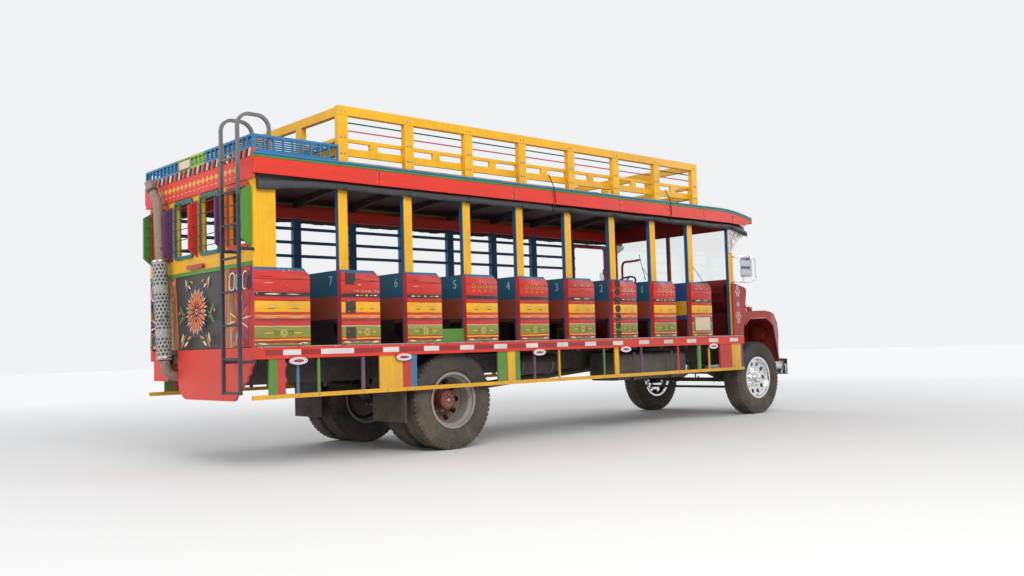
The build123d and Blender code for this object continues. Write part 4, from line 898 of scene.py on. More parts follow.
# %% [markdown]
# What a tyre fitter would touch: nuts with their studs, hub flange bolts, a valve, and on the front
# wheels a bright cover over the hub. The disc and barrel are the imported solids.

# %% Nuts, studs and hub bolts


def hub_details(name):
    x, y, side = WHEELS[name]
    front = name.startswith("front")
    finish = chrome if front else steel
    disc_face, nut_circle = (y + side * 0.048, 0.118) if front else (y - side * 0.1535, 0.128)
    hub_end, bolt_circle = (y + side * 0.138, 0.042) if front else (y + side * 0.0345, 0.056)
    valve_in, valve_reach = y + side * 0.10, 0.262 if front else 0.255

    def peg(reach, face, start, end, radius, sides, ease):
        """A bar along the axle, ahead of it by the reach, from start to end as seen from a face."""
        near, far = (x + reach, face + side * start, AXLE_Z), (x + reach, face + side * end, AXLE_Z)
        return rod(near, far, radius, finish, sides, ease)

    nut = peg(nut_circle, disc_face, -0.002, 0.024, 0.0165, 6, 0.0022)
    washer = peg(nut_circle, disc_face, -0.002, 0.005, 0.019, 20, 0.001)
    stud = peg(nut_circle, disc_face, 0.0, 0.042, 0.009, 12, 0.0015)
    bolt = peg(bolt_circle, hub_end, -0.002, 0.010, 0.0085, 6, 0.0012)
    pieces = [copied(joined([nut, washer, stud]), [about((x, y, AXLE_Z), "Y", 36 * k) for k in range(1, 10)]),
              copied(bolt, [about((x, y, AXLE_Z), "Y", 45 * k) for k in range(1, 8)]),
              turned([(0.0, 0.016), (0.012, 0.015), (0.022, 0.011), (0.027, 0.004), (0.028, -0.002)],
                     (x, hub_end, AXLE_Z), finish, side, 24),
              rod((x + valve_reach, valve_in - side * 0.03, AXLE_Z + 0.02),
                  (x + valve_reach - 0.012, valve_in + side * 0.012, AXLE_Z + 0.02), 0.0045, finish, 8)]
    finished(joined(pieces), "hub_details_" + name, "wheel_" + name)


for name in WHEELS:
    hub_details(name)


def rim_colours(tree):
    """Polished barrel and lip, browned disc, maroon hub; the middle is found from the axle."""
    parts, _ = place(tree)
    run = minus(tree, parts["X"], REAR_AXLE)
    rise = minus(tree, parts["Z"], AXLE_Z)
    circles = [(0.0, (0.22, 0.022, 0.020)), (0.145, (0.17, 0.055, 0.045)), (0.236, (0.30, 0.29, 0.28))]
    return bands(tree, distance(tree, run, rise), circles, 0.0, 0.4)


rear_rim = painted("rear wheel paint", rim_colours, under=(0.30, 0.27, 0.25), stretch=(1, 1, 1), wear=0.42, gloss=0.36,
                   dust=0.5, clean=1.5)
repaint(rear_rim, "rims_rear_left", "rims_rear_right")

# %% [markdown]
# The bench sides are boards nailed to the frame of each bench. Eight of them, one above the other,
# cover the solid's outer face. Their colours come from the stack above, and a corner is cut off the
# upper front. Each bench takes its own slice of the wear, because the pattern runs in metres.

# %% Boards on the bench sides
BOARDS = [(1.1475, 1.213), (1.217, 1.325), (1.329, 1.397), (1.401, 1.458), (1.462, 1.568), (1.572, 1.656),
          (1.660, 1.766), (1.770, 1.879)]
BENCHES = [(REAR, REAR + 0.58)] + [(x - POST_HALF - 0.003, x + 0.40) for x in POSTS]
BOARD_FACE = PANEL_FACE + 0.0048


def bench_boards(start, end):
    parts = []
    for low, high in BOARDS:
        slip = 0.0012 * math.sin(31 * start + 17 * low)
        parts.append(box((start + 0.002, end - 0.002), (-BOARD_FACE - slip, -PANEL_FACE + 0.001), (low, high),
                         stack_paint, 0.0022, 2))
    piece = joined(parts)
    edit(bpy.ops.mesh.bisect, plane_co=(end - 0.0015, 0, BELT - 0.07), plane_no=(1, 0, 1), clear_outer=True,
         use_fill=True)
    return piece


for k, (start, end) in enumerate(BENCHES):
    finished(bench_boards(start, end), f"bench_boards_{k}")
print("boards on", len(BENCHES), "benches")

# %% [markdown]
# Painted ornaments are thin filled outlines laid on the boards: lenses and stars in the black line,
# rings and leaves on the green one, strokes on the yellow one, and rows of circles at the top. The
# shapes of one colour are drawn together, so that a whole side is a single piece.

# %% Ornaments on the bench sides
INK = BOARD_FACE + 0.0016
BLACK_LINE, GREEN_BOARD, CIRCLE_ROW = 1.631, 1.268, 1.755
STAR = [(0, 0.016), (0.006, 0.005), (0.024, 0), (0.006, -0.005), (0, -0.016), (-0.006, -0.005), (-0.024, 0),
        (-0.006, 0.005)]
marks = {"cream": [], "yellow": [], "sky": [], "green": [], "dark": [], "orange": []}
rings = {"cream": [], "yellow": [], "green": [], "dark": []}
for k, (start, end) in enumerate(BENCHES):
    mid, wide = (start + end) / 2, end - start
    dice = random.Random(40 + k)
    plain = start + (0.16 if k in (1, 6) else 0.04)
    span = end - 0.03 - plain
    centre = plain + span / 2

    def stroke(tint, share, height, length, width, turn=0.0):
        """A leaf whose place and length are shares of the bench's free span."""
        marks[tint].append(leaf(centre + span * share, height, span * length, width, turn))

    if k in (1, 2, 6, 7):
        marks["yellow"].append([(centre + u, BLACK_LINE + v) for u, v in STAR])
        for side in (-1, 1):
            stroke("yellow", side * 0.22, BLACK_LINE, 0.16, 0.008)
            stroke("cream", side * 0.40, BLACK_LINE, 0.16, 0.013)
    elif k in (0, 5, 8):
        stroke("cream", -0.22, BLACK_LINE, 0.34, 0.015)
        stroke("cream", 0.20, BLACK_LINE, 0.30, 0.009)
    else:
        for j in range(5):
            stroke("dark", 0.2 * j - 0.4, BLACK_LINE + dice.uniform(-0.003, 0.003), 0.13, 0.017)
    for side in (-1, 1):
        marks["cream"].append(leaf(mid + side * wide * 0.36, 1.170, wide * 0.20, 0.017, side * 0.10))
        marks["sky" if k % 2 else "orange"].append(leaf(mid + side * wide * 0.13, 1.172, wide * 0.17, 0.007))
        stroke("sky", side * 0.22, 1.528, 0.24, 0.007, dice.uniform(-0.03, 0.03))
        stroke("dark", side * 0.24, 1.497, 0.20, 0.006, dice.uniform(-0.03, 0.03))
        stroke("cream", side * 0.27, 1.415, 0.36, 0.006)
        stroke("yellow", side * 0.30, GREEN_BOARD, 0.22, 0.012)
        stroke("orange", side * 0.28, GREEN_BOARD + 0.032, 0.26, 0.005)
        rings["dark"].append((centre + side * span * 0.14, GREEN_BOARD, 0.022, 0.019))
    rings["yellow"].append((centre, GREEN_BOARD, 0.036, 0.030))
    rings["cream"].append((centre, GREEN_BOARD, 0.021, 0.017))
    if k in (3, 4, 6, 7):
        ring_tint, leaf_tint = ("green", "green") if k < 6 else ("cream", "sky")
        for j in range(4):
            u = centre + span * (j - 1.5) * 0.21
            rings[ring_tint].append((u, CIRCLE_ROW, 0.026, 0.021))
            marks[leaf_tint].append(leaf(u, CIRCLE_ROW - 0.055, 0.05, 0.010, 0.5 * (-1) ** j))
    elif k in (5, 8):
        for j in range(3):
            stroke("dark", (j - 1) * 0.3, 1.715 + 0.02 * (j % 2), 0.24, 0.008)
            stroke("sky", (j - 1) * 0.3, 1.790, 0.16, 0.012, 0.25 * (j - 1))
    else:
        stroke("dark", -0.32, 1.792, 0.24, 0.006)
        stroke("dark", 0.30, 1.776, 0.30, 0.007)
        stroke("cream", -0.30, 1.735, 0.22, 0.006)

TINTS = {"cream": CREAM, "yellow": (0.80, 0.48, 0.05), "sky": (0.30, 0.42, 0.50), "green": (0.33, 0.40, 0.06),
         "dark": (0.06, 0.03, 0.025), "orange": SALMON}
ink = {}
for key, tint in TINTS.items():
    ink[key] = painted(key + " ornament", tint, under=(0.30, 0.10, 0.06), stretch=(0.3, 1, 1), wear=0.5, gloss=0.5)
right_face = facing("right", y=-INK)
for key, outlines in marks.items():
    for u, v, outer, inner in rings.get(key, []):
        outlines.append(oval(u, v, outer, outer, 24))
        outlines.append(oval(u, v, inner, inner, 24))
    finished(flat(outlines, ink[key], 0.0016, right_face), "bench_ornament_" + key)

# %% [markdown]
# Two benches carry carved tiles near their rear edge: dark squares on one, squares and roundels by
# turns on the other. A tile is a plate with a raised rim, a ring of petals and a boss, made once.

# %% Carved tiles
tile_finish = painted("carved tile", (0.055, 0.040, 0.034), under=(0.26, 0.20, 0.13), stretch=(1, 1, 1), wear=0.5,
                      gloss=0.55)


def carved_tile(u, v, size, square=True):
    face, half = -BOARD_FACE - 0.0015, size / 2
    if square:
        parts = [box((u - half, u + half), (face - 0.005, face + 0.002), (v - half, v + half), tile_finish, 0.002, 2)]
    else:
        parts = [flat([oval(u, v, half, half, 28)], tile_finish, 0.006, facing("right", y=face - 0.002))]
    rim = [oval(u, v, half * 0.92, half * 0.92, 28), oval(u, v, half * 0.78, half * 0.78, 28)]
    parts.append(flat(rim, tile_finish, 0.004, facing("right", y=face - 0.0065)))
    petals = [leaf(u + half * 0.46 * math.cos(a), v + half * 0.46 * math.sin(a), half * 0.56, half * 0.26, a)
              for a in (math.tau * j / 8 for j in range(8))]
    parts.append(flat(petals, tile_finish, 0.005, facing("right", y=face - 0.0065)))
    parts.append(ball((u, face - 0.006, v), half * 0.16, tile_finish, (1, 0.5, 1), 6))
    return joined(parts)


tiles = [carved_tile(BENCHES[1][0] + 0.105, v, 0.115) for v in (1.795, 1.515, 1.262)]
tiles += [carved_tile(BENCHES[6][0] + 0.085, 1.83 - 0.105 * j, 0.092, j % 2 == 0) for j in range(7)]
finished(joined(tiles), "carved_tiles")

# a blank plate with a thin black border, beside the driver
plate_x, plate_z = (BENCHES[8][0] + 0.05, BENCHES[8][1] - 0.05), (1.215, 1.415)
blank = box(plate_x, (-BOARD_FACE - 0.0065, -BOARD_FACE), plate_z, cream_paint, 0.002, 2)
border = [rounded(plate_x, plate_z, 0.01), rounded((plate_x[0] + 0.009, plate_x[1] - 0.009), (1.224, 1.406), 0.008)]
trim = flat(border, black_paint, 0.003, facing("right", y=-BOARD_FACE - 0.0066))
finished(joined([blank, trim]), "blank_side_plate")

# %% [markdown]
# The rear is the bus's painted face. Its middle panel is dark, and a large rosette with leaf scrolls
# fills it. Beside it run salmon strips with curved strokes, and the red outer panels carry a burst
# of thin rays. The lower wall leans, so the plane in which all this is drawn leans with it.

# %% Painted face of the lower rear wall
LEAN = math.atan2(0.030, 0.75)
WALL_TOP = BELT + 0.015
ROSETTE = 1.52
wall_plane = at(REAR - 0.0012, 0, WALL_TOP) @ Matrix.Rotation(LEAN, 4, "Y") @ facing("rear") @ at(y=-WALL_TOP)
flower = {"orange": [], "cream": [], "green": [], "red": [], "sky": []}


def petal(colour, u, v, length, width, turn):
    flower[colour].append(leaf(u, v, length, width, turn, 7))


def petal_ring(colour, u, v, count, reach, length, width, turn=0.0):
    for k in range(count):
        a = turn + math.tau * k / count
        petal(colour, u + reach * math.cos(a), v + reach * math.sin(a), length, width, a)


petal_ring("orange", 0, ROSETTE, 16, 0.150, 0.150, 0.046)
petal_ring("cream", 0, ROSETTE, 16, 0.205, 0.070, 0.018, math.pi / 16)
petal_ring("red", 0, ROSETTE, 12, 0.075, 0.075, 0.030)
petal_ring("cream", 0, ROSETTE, 12, 0.078, 0.055, 0.008)
petal_ring("sky", 0, ROSETTE, 32, 0.248, 0.030, 0.012)
flower["cream"] += [oval(0, ROSETTE, 0.028, 0.028, 20), oval(0, ROSETTE, 0.018, 0.018, 20)]
for side in (-1, 1):
    for height, size in ((1.80, 0.8), (1.23, 1.0)):
        for j in range(5):
            a = (0.35 + 0.32 * j) * (1 if height > 1.5 else -1)
            reach = 0.13 * size
            u = side * (0.06 + reach * math.sin(abs(a)) * 1.9)
            v = height + (0.03 - 0.06 * (j % 2)) * size
            colour = ("orange", "cream", "green", "orange", "cream")[j]
            petal(colour, u, v, 0.11 * size, 0.030 * size, side * a * 0.7)
    petal("green", side * 0.33, ROSETTE, 0.20, 0.030, side * 0.9)
    petal("green", side * 0.33, ROSETTE - 0.06, 0.20, 0.030, -side * 0.7)
    flower["orange"].append(oval(side * 0.40, ROSETTE, 0.016, 0.016, 16))
    for j in range(9):
        way, strip = (-1) ** j, side * 0.587
        flower["cream"].append(leaf(strip + 0.012 * way, 1.19 + 0.081 * j, 0.052, 0.012, 1.2 * way))
        flower["red"].append(leaf(strip - 0.014 * way, 1.23 + 0.081 * j, 0.040, 0.008, 1.0 * way))
    for k in range(16):
        a = math.tau * k / 16 + 0.1
        colour = ("cream", "orange", "sky", "cream")[k % 4]
        reach, size = (0.125, 0.15) if k % 2 else (0.150, 0.19)
        ahead, rise = math.cos(a), 1.35 * math.sin(a)
        turn = math.atan2(rise, ahead)
        flower[colour].append(leaf(side * 0.915 + reach * ahead, 1.40 + reach * rise, size, 0.016, turn))
INK_STRETCH = (1, 1, 0.3)
red_ink = painted("red ornament", (0.50, 0.05, 0.03), (0.1, 0.05, 0.03), INK_STRETCH, wear=0.35, gloss=0.5)
green_ink = painted("leaf ornament", (0.10, 0.24, 0.05), (0.04, 0.05, 0.03), INK_STRETCH, wear=0.4, gloss=0.5)
blue_ink = painted("blue ornament", (0.03, 0.14, 0.42), wear=0.4)
shades = {"orange": ink["orange"], "cream": ink["cream"], "sky": blue_ink, "green": green_ink, "red": red_ink}
for colour, outlines in flower.items():
    finished(flat(outlines, shades[colour], 0.0016, wall_plane), "rear_ornament_" + colour)
edge_lines = []
for side in (-1, 1):
    for u in (0.505, 0.664, 0.7175, 1.1165):
        edge_lines.append(oblong(side * u - 0.004, side * u + 0.004, 1.15, BELT - 0.002))
finished(flat(edge_lines, ink["dark"], 0.0022, wall_plane), "rear_panel_joints")

# %% [markdown]
# Three tall bright rings stand on each red panel, each round a maroon shield, and a ribbed reflector
# lies at its foot. The ring is one outline inside another, filled between. The plastic of lamps and
# reflectors is a clear coat over ribs, which a wave texture raises as a bump.

# %% Rings, reflectors and lamp plastic
RING_Z, REFLECTOR_Y = 1.765, 0.93
parts = []
for side in (-1, 1):
    for u in (side * (0.785 + 0.130 * j) for j in range(3)):
        outside = rounded((u - 0.054, u + 0.054), (RING_Z - 0.088, RING_Z + 0.088), 0.046, 8)
        inside = rounded((u - 0.040, u + 0.040), (RING_Z - 0.074, RING_Z + 0.074), 0.034, 8)
        parts.append(flat([outside, inside], chrome, 0.014, wall_plane @ at(z=0.007)))
        parts.append(flat([inside], maroon, 0.004, wall_plane @ at(z=0.002)))
finished(joined(parts), "rear_rings")


def lens_finish(name, direction, ribbing, light, dark, roughness, coat):
    material, tree, shader = new_finish(name)
    wave = add_node(tree, "ShaderNodeTexWave", {"bands_direction": direction}, Vector=place(tree)[1], Scale=ribbing)
    ribs = wave.outputs["Fac"]
    raised(tree, shader, ribs, 0.5, 0.003)
    colour = mix_colour(tree, fade(tree, ribs, 0, 1, 0, 0.4), rgba(light), rgba(dark))
    tree.links.new(colour, shader.inputs["Base Color"])
    shader.inputs["Roughness"].default_value = roughness
    shader.inputs["Coat Weight"].default_value = coat
    return material


amber = lens_finish("amber lens", "Y", 38.0, (0.75, 0.16, 0.01), (0.5, 0.07, 0.005), 0.14, 0.6)
lens_red = lens_finish("red lens", "DIAGONAL", 45.0, (0.42, 0.012, 0.010), (0.22, 0.006, 0.005), 0.12, 0.7)
parts = []
for middle in (-REFLECTOR_Y, REFLECTOR_Y):
    bar = rounded((middle - 0.085, middle + 0.085), (1.165, 1.195), 0.008)
    parts.append(flat([bar], amber, 0.014, wall_plane @ at(z=0.006)))
finished(joined(parts), "rear_reflectors")
repaint(lens_red, "lamps")

# %% [markdown]
# Below the rear wall hangs one wide red board. Use has torn its lower edge into steps, and a smaller
# board stands beside it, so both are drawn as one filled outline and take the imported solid's place.

# %% Rear skirt with its ragged edge
SKIRT_HALF, SKIRT_TOP, SKIRT_INNER, SMALL_BOARD = 1.118, 1.140, -0.500, (-0.760, 0.820)
torn = [(SKIRT_HALF, 1.030), (1.112, 0.985), (1.090, 0.962), (1.068, 0.940), (1.064, 0.905), (1.040, 0.885),
        (1.012, 0.872), (1.002, 0.835), (0.965, 0.815), (0.930, 0.800), (0.918, 0.765), (0.870, 0.745), (0.835, 0.712),
        (0.800, 0.690), (0.770, 0.655), (0.735, 0.640)]
turned_up = [(-0.300, 0.640), (-0.364, 0.651), (-0.420, 0.682), (-0.440, 0.702), (-0.470, 0.747), (-0.492, 0.800),
             (-0.500, 0.860)]
skirt_outline = [(SKIRT_INNER, SKIRT_TOP), (SKIRT_HALF, SKIRT_TOP)] + torn + turned_up
small_board = oblong(-SKIRT_HALF, SMALL_BOARD[0], SMALL_BOARD[1], SKIRT_TOP)
skirt = flat([skirt_outline, small_board], orange_red_paint, 0.025, facing("rear", REAR + 0.0185))
finished(skirt, "rear_skirt_boards", replaces=["rear_skirt"])

# %% [markdown]
# Windows of the upper wall: teal frames inside, red frames outside, and five thin rods that run
# right across through the coloured fins. Above them a row of small diamonds decorates the red band,
# and along its top edge hangs a row of slanted slips.

# %% Rear windows, rods and fins
WINDOW_LOW, WINDOW_TOP, ROD_LOW, ROD_STEP = 2.070, 2.685, 2.155, 0.108
BAND_MIDDLE, SIGN_U, SIGN_Z = 2.812, (-0.362, -0.075), (2.985, 3.085)
teal_paint = painted("teal enamel", TEAL, wear=0.25)
frames = {"teal": [], "red": []}
for inner, outer in ((0.105, 0.490), (0.700, 1.090)):
    for side in (-1, 1):
        u = sorted((-side * inner, -side * outer))
        key = "teal" if inner < 0.3 else "red"
        frames[key].append(rounded((u[0] - 0.030, u[1] + 0.030), (WINDOW_LOW, WINDOW_TOP), 0.055))
        frames[key].append(rounded((u[0] + 0.006, u[1] - 0.006), (WINDOW_LOW + 0.036, WINDOW_TOP - 0.036), 0.030))
for key, finish in (("teal", teal_paint), ("red", red_paint)):
    ring = flat(frames[key], finish, 0.018, facing("rear", REAR - 0.009))
    inside = flat(frames[key], finish, 0.010, facing("rear", REAR + 0.045))
    finished(joined([ring, inside]), f"window_frames_{key}")
rods = []
for k in range(5):
    z = ROD_LOW + ROD_STEP * k
    rods.append(rod((REAR - 0.052, -1.14, z), (REAR - 0.052, 1.14, z), 0.0045, black_iron, 8))
finished(joined(rods), "window_rods")


def fin_colours(tree):
    parts, _ = place(tree)
    reach = math_node(tree, "ABSOLUTE", parts["Y"])
    return bands(tree, reach, [(0.0, RED), (0.3, PURPLE), (0.9, GREEN)], 0.0, 1.2)


repaint(painted("fin enamel", fin_colours, stretch=(1, 1, 0.05), wear=0.2), "rear_fins")
BAND_PLANE = facing("rear", BAND_FACE - 0.001)
diamonds, dashes = [], []
for k in range(-9, 10):
    u = 0.098 * k
    diamonds.append(oval(u, BAND_MIDDLE, 0.030, 0.036, 4))
    dashes.append(leaf(u + 0.049, BAND_MIDDLE, 0.026, 0.010, math.pi / 2))
    dashes.append(leaf(u, BAND_MIDDLE - 0.067, 0.060, 0.008))
finished(flat(diamonds, ink["yellow"], 0.0018, BAND_PLANE), "band_diamonds")
finished(flat(dashes, ink["cream"], 0.0018, BAND_PLANE), "band_dashes")
slips = {"navy": [], "salmon": [], "cream": []}
for k in range(44):
    u = -1.19 + 0.0545 * k
    key = ("navy", "salmon", "navy", "cream")[k % 4]
    slips[key].append([(u, 2.900), (u + 0.026, 2.900), (u + 0.052, 2.972), (u + 0.026, 2.972)])
navy_paint = painted("navy enamel", NAVY, wear=0.3)
salmon_paint = painted("salmon enamel", SALMON, wear=0.3)
for key, finish in (("navy", navy_paint), ("salmon", salmon_paint), ("cream", cream_paint)):
    finished(flat(slips[key], finish, 0.010, facing("rear", BAND_FACE - 0.005)), "edge_slips_" + key)
sign = box((BAND_FACE - 0.008, BAND_FACE + 0.001), (-SIGN_U[1], -SIGN_U[0]), SIGN_Z, cream_paint, 0.002)
border = [rounded(SIGN_U, SIGN_Z, 0.012), rounded((SIGN_U[0] + 0.008, SIGN_U[1] - 0.008), (2.993, 3.077), 0.009)]
border = flat(border, black_paint, 0.003, facing("rear", BAND_FACE - 0.009))
finished(joined([sign, border]), "blank_rear_plate")


def rack_colours(tree):
    """Light blue, with a lime stretch in the middle of the rear."""
    parts, _ = place(tree)
    off_middle = math_node(tree, "ABSOLUTE", minus(tree, parts["Y"], 0.08))
    near = less(tree, off_middle, 0.31)
    back = less(tree, parts["X"], REAR + 0.10)
    return mix_colour(tree, product(tree, near, back), rgba(LIGHT_BLUE), (0.30, 0.50, 0.035, 1))


repaint(painted("rear rack enamel", rack_colours, under=(0.12, 0.05, 0.02), wear=0.3), "rear_rack")

# %% [markdown]
# The edge of the roof has two mouldings that follow its fall over the visor, a front board that
# closes the visor, joints between its lengths of board, and straps that tie the curtains. The
# mouldings are wires drawn along the same arc that the roof was made with.

# %% Mouldings and joints of the roof's edge
VISOR_LENGTH, VISOR_DROP = 0.770, 0.100
ARC = (VISOR_LENGTH ** 2 + VISOR_DROP ** 2) / (2 * VISOR_DROP)


def roof_fall(x):
    ahead = min(max(0.0, x - VISOR), VISOR_LENGTH)
    return ARC - math.sqrt(ARC ** 2 - ahead ** 2)


stations = [BAND_FACE + 0.004] + [VISOR + VISOR_LENGTH * k / 10 for k in range(11)]
MOULDINGS = [("blue", 0.017, 0.0125, light_blue_paint, "metal_light_blue"),
             ("green", 0.043, 0.0105, green_paint, "wood_striped")]
for name, drop, radius, finish, slot in MOULDINGS:
    line = [(x, -1.249, ROOF_EDGE - drop - roof_fall(x)) for x in stations]
    finished(both_sides(wire(line, finish, radius)), f"roof_moulding_{name}")
CROWN_HALF, CROWN_RISE = ROOF_HALF - 0.075, 0.06
CROWN_ARC = (CROWN_HALF ** 2 + CROWN_RISE ** 2) / (2 * CROWN_RISE)


def crown(y):
    return 0.0 if abs(y) >= CROWN_HALF else CROWN_RISE - CROWN_ARC + math.sqrt(CROWN_ARC ** 2 - y ** 2)


TIP_X, TIP_Z = VISOR + VISOR_LENGTH, ROOF_EDGE - VISOR_DROP
across = [1.245 * k / 14 for k in range(-14, 15)]
outline = [(y, TIP_Z + crown(y) - 0.002) for y in across] + [(y, TIP_Z + crown(y) * 0.8 - 0.085) for y in across[::-1]]
board = flat([outline], fascia_paint, 0.016, facing("front", TIP_X + 0.009))
front_line = wire([(TIP_X + 0.012, y, TIP_Z + crown(y) - 0.012) for y in across], light_blue_paint, 0.011)
finished(joined([board, front_line]), "visor_board")
joints = []
for x in (-3.02, -1.18, -0.56, 0.62, 1.61, 2.35, 3.02):
    z = ROOF_EDGE - roof_fall(x)
    joints.append(box((x - 0.0016, x + 0.0016), (-1.2525, -1.2490), (2.745, z - 0.056), black_plastic, 0))
    for v in (2.775, 2.85):
        for u in (x + 0.025, x - 0.025):
            joints.append(rod((u, -1.2485, v), (u, -1.2535, v), 0.006, steel, 10, 0.001))
finished(both_sides(joined(joints)), "roof_edge_joints")
rubber_strap = coated("strap webbing", (0.02, 0.02, 0.022), 0.7, dust=0.1)
parts = []
for x, lean in ((-0.56, 0.04), (1.61, 0.03)):
    line = [(x - 0.01, -1.19, 3.10), (x, -1.256, 2.975), (x + lean * 0.5, -1.263, 2.86), (x + lean, -1.256, 2.76),
            (x + lean, -1.215, 2.68), (x + lean, -1.165, 2.655)]
    parts.append(wire(line, rubber_strap, 0.0055, curved=True))
finished(both_sides(joined(parts)), "curtain_straps")

# %% [markdown]
# Below the floor the side rail carries a dark red tape with white patches, oval lamps hang under it,
# and painted slats tie it to the yellow strip. Some slats are thin and lean, others are wide boards
# with a sawn, wavy edge.

# %% Rail tape, lamps and skirt details
RAIL_Y = -RAIL_FACE
TAPE_LOW, TAPE_TOP, TAPE_BREAK = 1.062, 1.112, 0.2
SLAT_LOW, SLAT_TOP, LAMP_Z = 0.702, 1.028, 1.006
# white patches of the tape: start and end, ahead of the rear axle
PATCHES = [(-2.076, -1.887), (-1.671, -1.299), (-0.955, -0.759), (-0.441, -0.243), (0.042, 0.238), (0.527, 0.72),
           (1.011, 1.2), (1.509, 1.693), (1.984, 2.179), (2.487, 2.674), (2.981, 3.178), (3.481, 3.668), (3.965, 4.162),
           (4.452, 4.659), (4.94, 5.132)]
tape_red = painted("dark red tape", (0.33, 0.015, 0.02), under=(0.55, 0.06, 0.03), wear=0.3, gloss=0.3)
tape_white = painted("white tape", (0.74, 0.73, 0.70), under=(0.45, 0.10, 0.08), wear=0.34, gloss=0.3)
LAST = REAR_AXLE + 5.255
ends = [REAR + 0.10] + [REAR_AXLE + v for pair in PATCHES for v in pair] + [LAST]
strips = {True: [], False: []}
for k in range(len(ends) - 1):
    if k % 2 == 1 or ends[k] <= TAPE_BREAK:
        strips[k % 2 == 1].append(oblong(ends[k], ends[k + 1], TAPE_LOW, TAPE_TOP))
for white, finish in ((True, tape_white), (False, tape_red)):
    tape = flat(strips[white], finish, 0.0016, facing("right", y=RAIL_Y - 0.0008))
    finished(both_sides(tape), "rail_tape_" + ("white" if white else "red"))
LAMPS = [REAR_AXLE + v for v in (-1.925, -0.710, 1.205, 2.705, 4.525)]


def side_lamp(x):
    """Two oval rings round a red lens, held by two screws."""
    face, z = -1.2022, LAMP_Z
    plane = facing("right", y=face - 0.003)
    outer = flat([oval(x, z, 0.098, 0.036, 36), oval(x, z, 0.064, 0.019, 36)], chrome, 0.009, plane)
    inner = flat([oval(x, z, 0.070, 0.023, 32), oval(x, z, 0.058, 0.015, 32)], chrome, 0.014, plane)
    lens = ball((x, face - 0.002, z), 0.020, lens_red, (2.95, 0.62, 0.78), 10)
    screws = [rod((u, face - 0.006, z), (u, face - 0.0105, z), 0.006, steel, 10, 0.001) for u in (x - 0.081, x + 0.081)]
    return joined([outer, inner, lens] + screws)


lamp = side_lamp(LAMPS[0])
finished(both_sides(copied(lamp, [at(x - LAMPS[0]) for x in LAMPS[1:]])), "side_lamps")


def wavy(u0, u1, depth, count, phase=0.0):
    """A skirt board, measured from the rear axle, whose forward edge is sawn in waves of some depth."""
    edge = []
    for k in range(25):
        wave = 0.5 + 0.5 * math.cos(math.tau * (phase + count * k / 24))
        forward = u1 + depth * wave * (0.6 + 0.4 * math.sin(5.1 * k))
        edge.append((REAR_AXLE + forward, SLAT_LOW + (SLAT_TOP - SLAT_LOW) * k / 24))
    return [(REAR_AXLE + u0, SLAT_LOW)] + edge + [(REAR_AXLE + u0, SLAT_TOP)]


skirt_plane = facing("right", y=-1.1765)
red_boards = [wavy(-2.135, -2.052, 0.022, 2.5)]
for u0, u1 in ((-0.705, -0.607), (4.715, 4.99)):
    red_boards.append(oblong(REAR_AXLE + u0, REAR_AXLE + u1, SLAT_LOW, SLAT_TOP))
WIDE_BOARDS = [("green", green_paint, [wavy(-2.214, -2.135, 0.0, 2)]), ("red", red_paint, red_boards),
               ("blue", light_blue_paint, [wavy(-0.606, -0.527, -0.016, 2.2, 0.4)]),
               ("yellow", yellow_paint, [wavy(0.735, 0.815, 0.022, 2.6, 0.2)])]
for key, finish, outlines in WIDE_BOARDS:
    finished(both_sides(flat(outlines, finish, 0.006, skirt_plane)), "skirt_boards_" + key)
# bolts of the lower strip, measured from the first one
BOLTS = [0.08, 0.258, 0.483, 0.987, 1.27, 1.51, 1.61, 2.82, 2.95, 3.05, 3.327, 3.729, 4.51, 4.74, 5.21, 5.96, 6.416,
         6.64, 7.02, 7.29, 7.40]
FIRST_BOLT = REAR_AXLE - 2.17
first = rod((FIRST_BOLT, -1.1795, 0.682), (FIRST_BOLT, -1.1855, 0.682), 0.009, steel, 12, 0.002)
finished(both_sides(copied(first, [at(ahead) for ahead in BOLTS])), "strip_bolts")
nail = rod((REAR + 0.06, RAIL_Y + 0.001, 1.132), (REAR + 0.06, RAIL_Y - 0.0035, 1.132), 0.0075, steel, 10, 0.0012)
finished(both_sides(copied(nail, [at(BAY / 2 * k) for k in range(1, 20)])), "rail_bolts")
tread = flat([oblong(REAR + 0.02, LAST, 1.147, 1.139)], steel, 0.004, facing("right", y=RAIL_Y - 0.001))
finished(both_sides(tread), "rail_edge_strip")

# %% [markdown]
# The exhaust stack stands in a sleeve of perforated sheet. Its holes are real: one small cell with a
# round hole is repeated in staggered rows, and the flat sheet is then wrapped round the pipe. Plain
# bands are left between the fields of holes, as on the photographed one.

# %% Perforated sleeve of the exhaust
LOW, HIGH = Vector((REAR - 0.1, 0.585, 1.045)), Vector((REAR - 0.1, 0.6935, 2.088))
SLEEVE_R, AROUND, ROWS = 0.0765, 12, 27
CELL = math.tau * SLEEVE_R / AROUND
RISE = (HIGH - LOW).length / ROWS
sleeve_steel = coated("dull zinc", (0.40, 0.40, 0.38), 0.5, dust=0.25)


def sheet_cell():
    """A cell of sheet with a round hole, drawn flat."""
    return drawn([oblong(0, CELL, 0, RISE), oval(CELL / 2, RISE / 2, 0.0122, 0.0122, 14)], sleeve_steel, thick=0.0016,
                 smooth=0)


def wrap(piece):
    """Turn the flat sheet's first axis round the pipe, and its second along the pipe."""
    turn = (HIGH - LOW).to_track_quat("Z", "Y").to_matrix()
    for vertex in piece.data.vertices:
        a = vertex.co.x / SLEEVE_R
        r = SLEEVE_R + vertex.co.z
        vertex.co = LOW + turn @ Vector((r * math.cos(a), r * math.sin(a), vertex.co.y))
    return piece


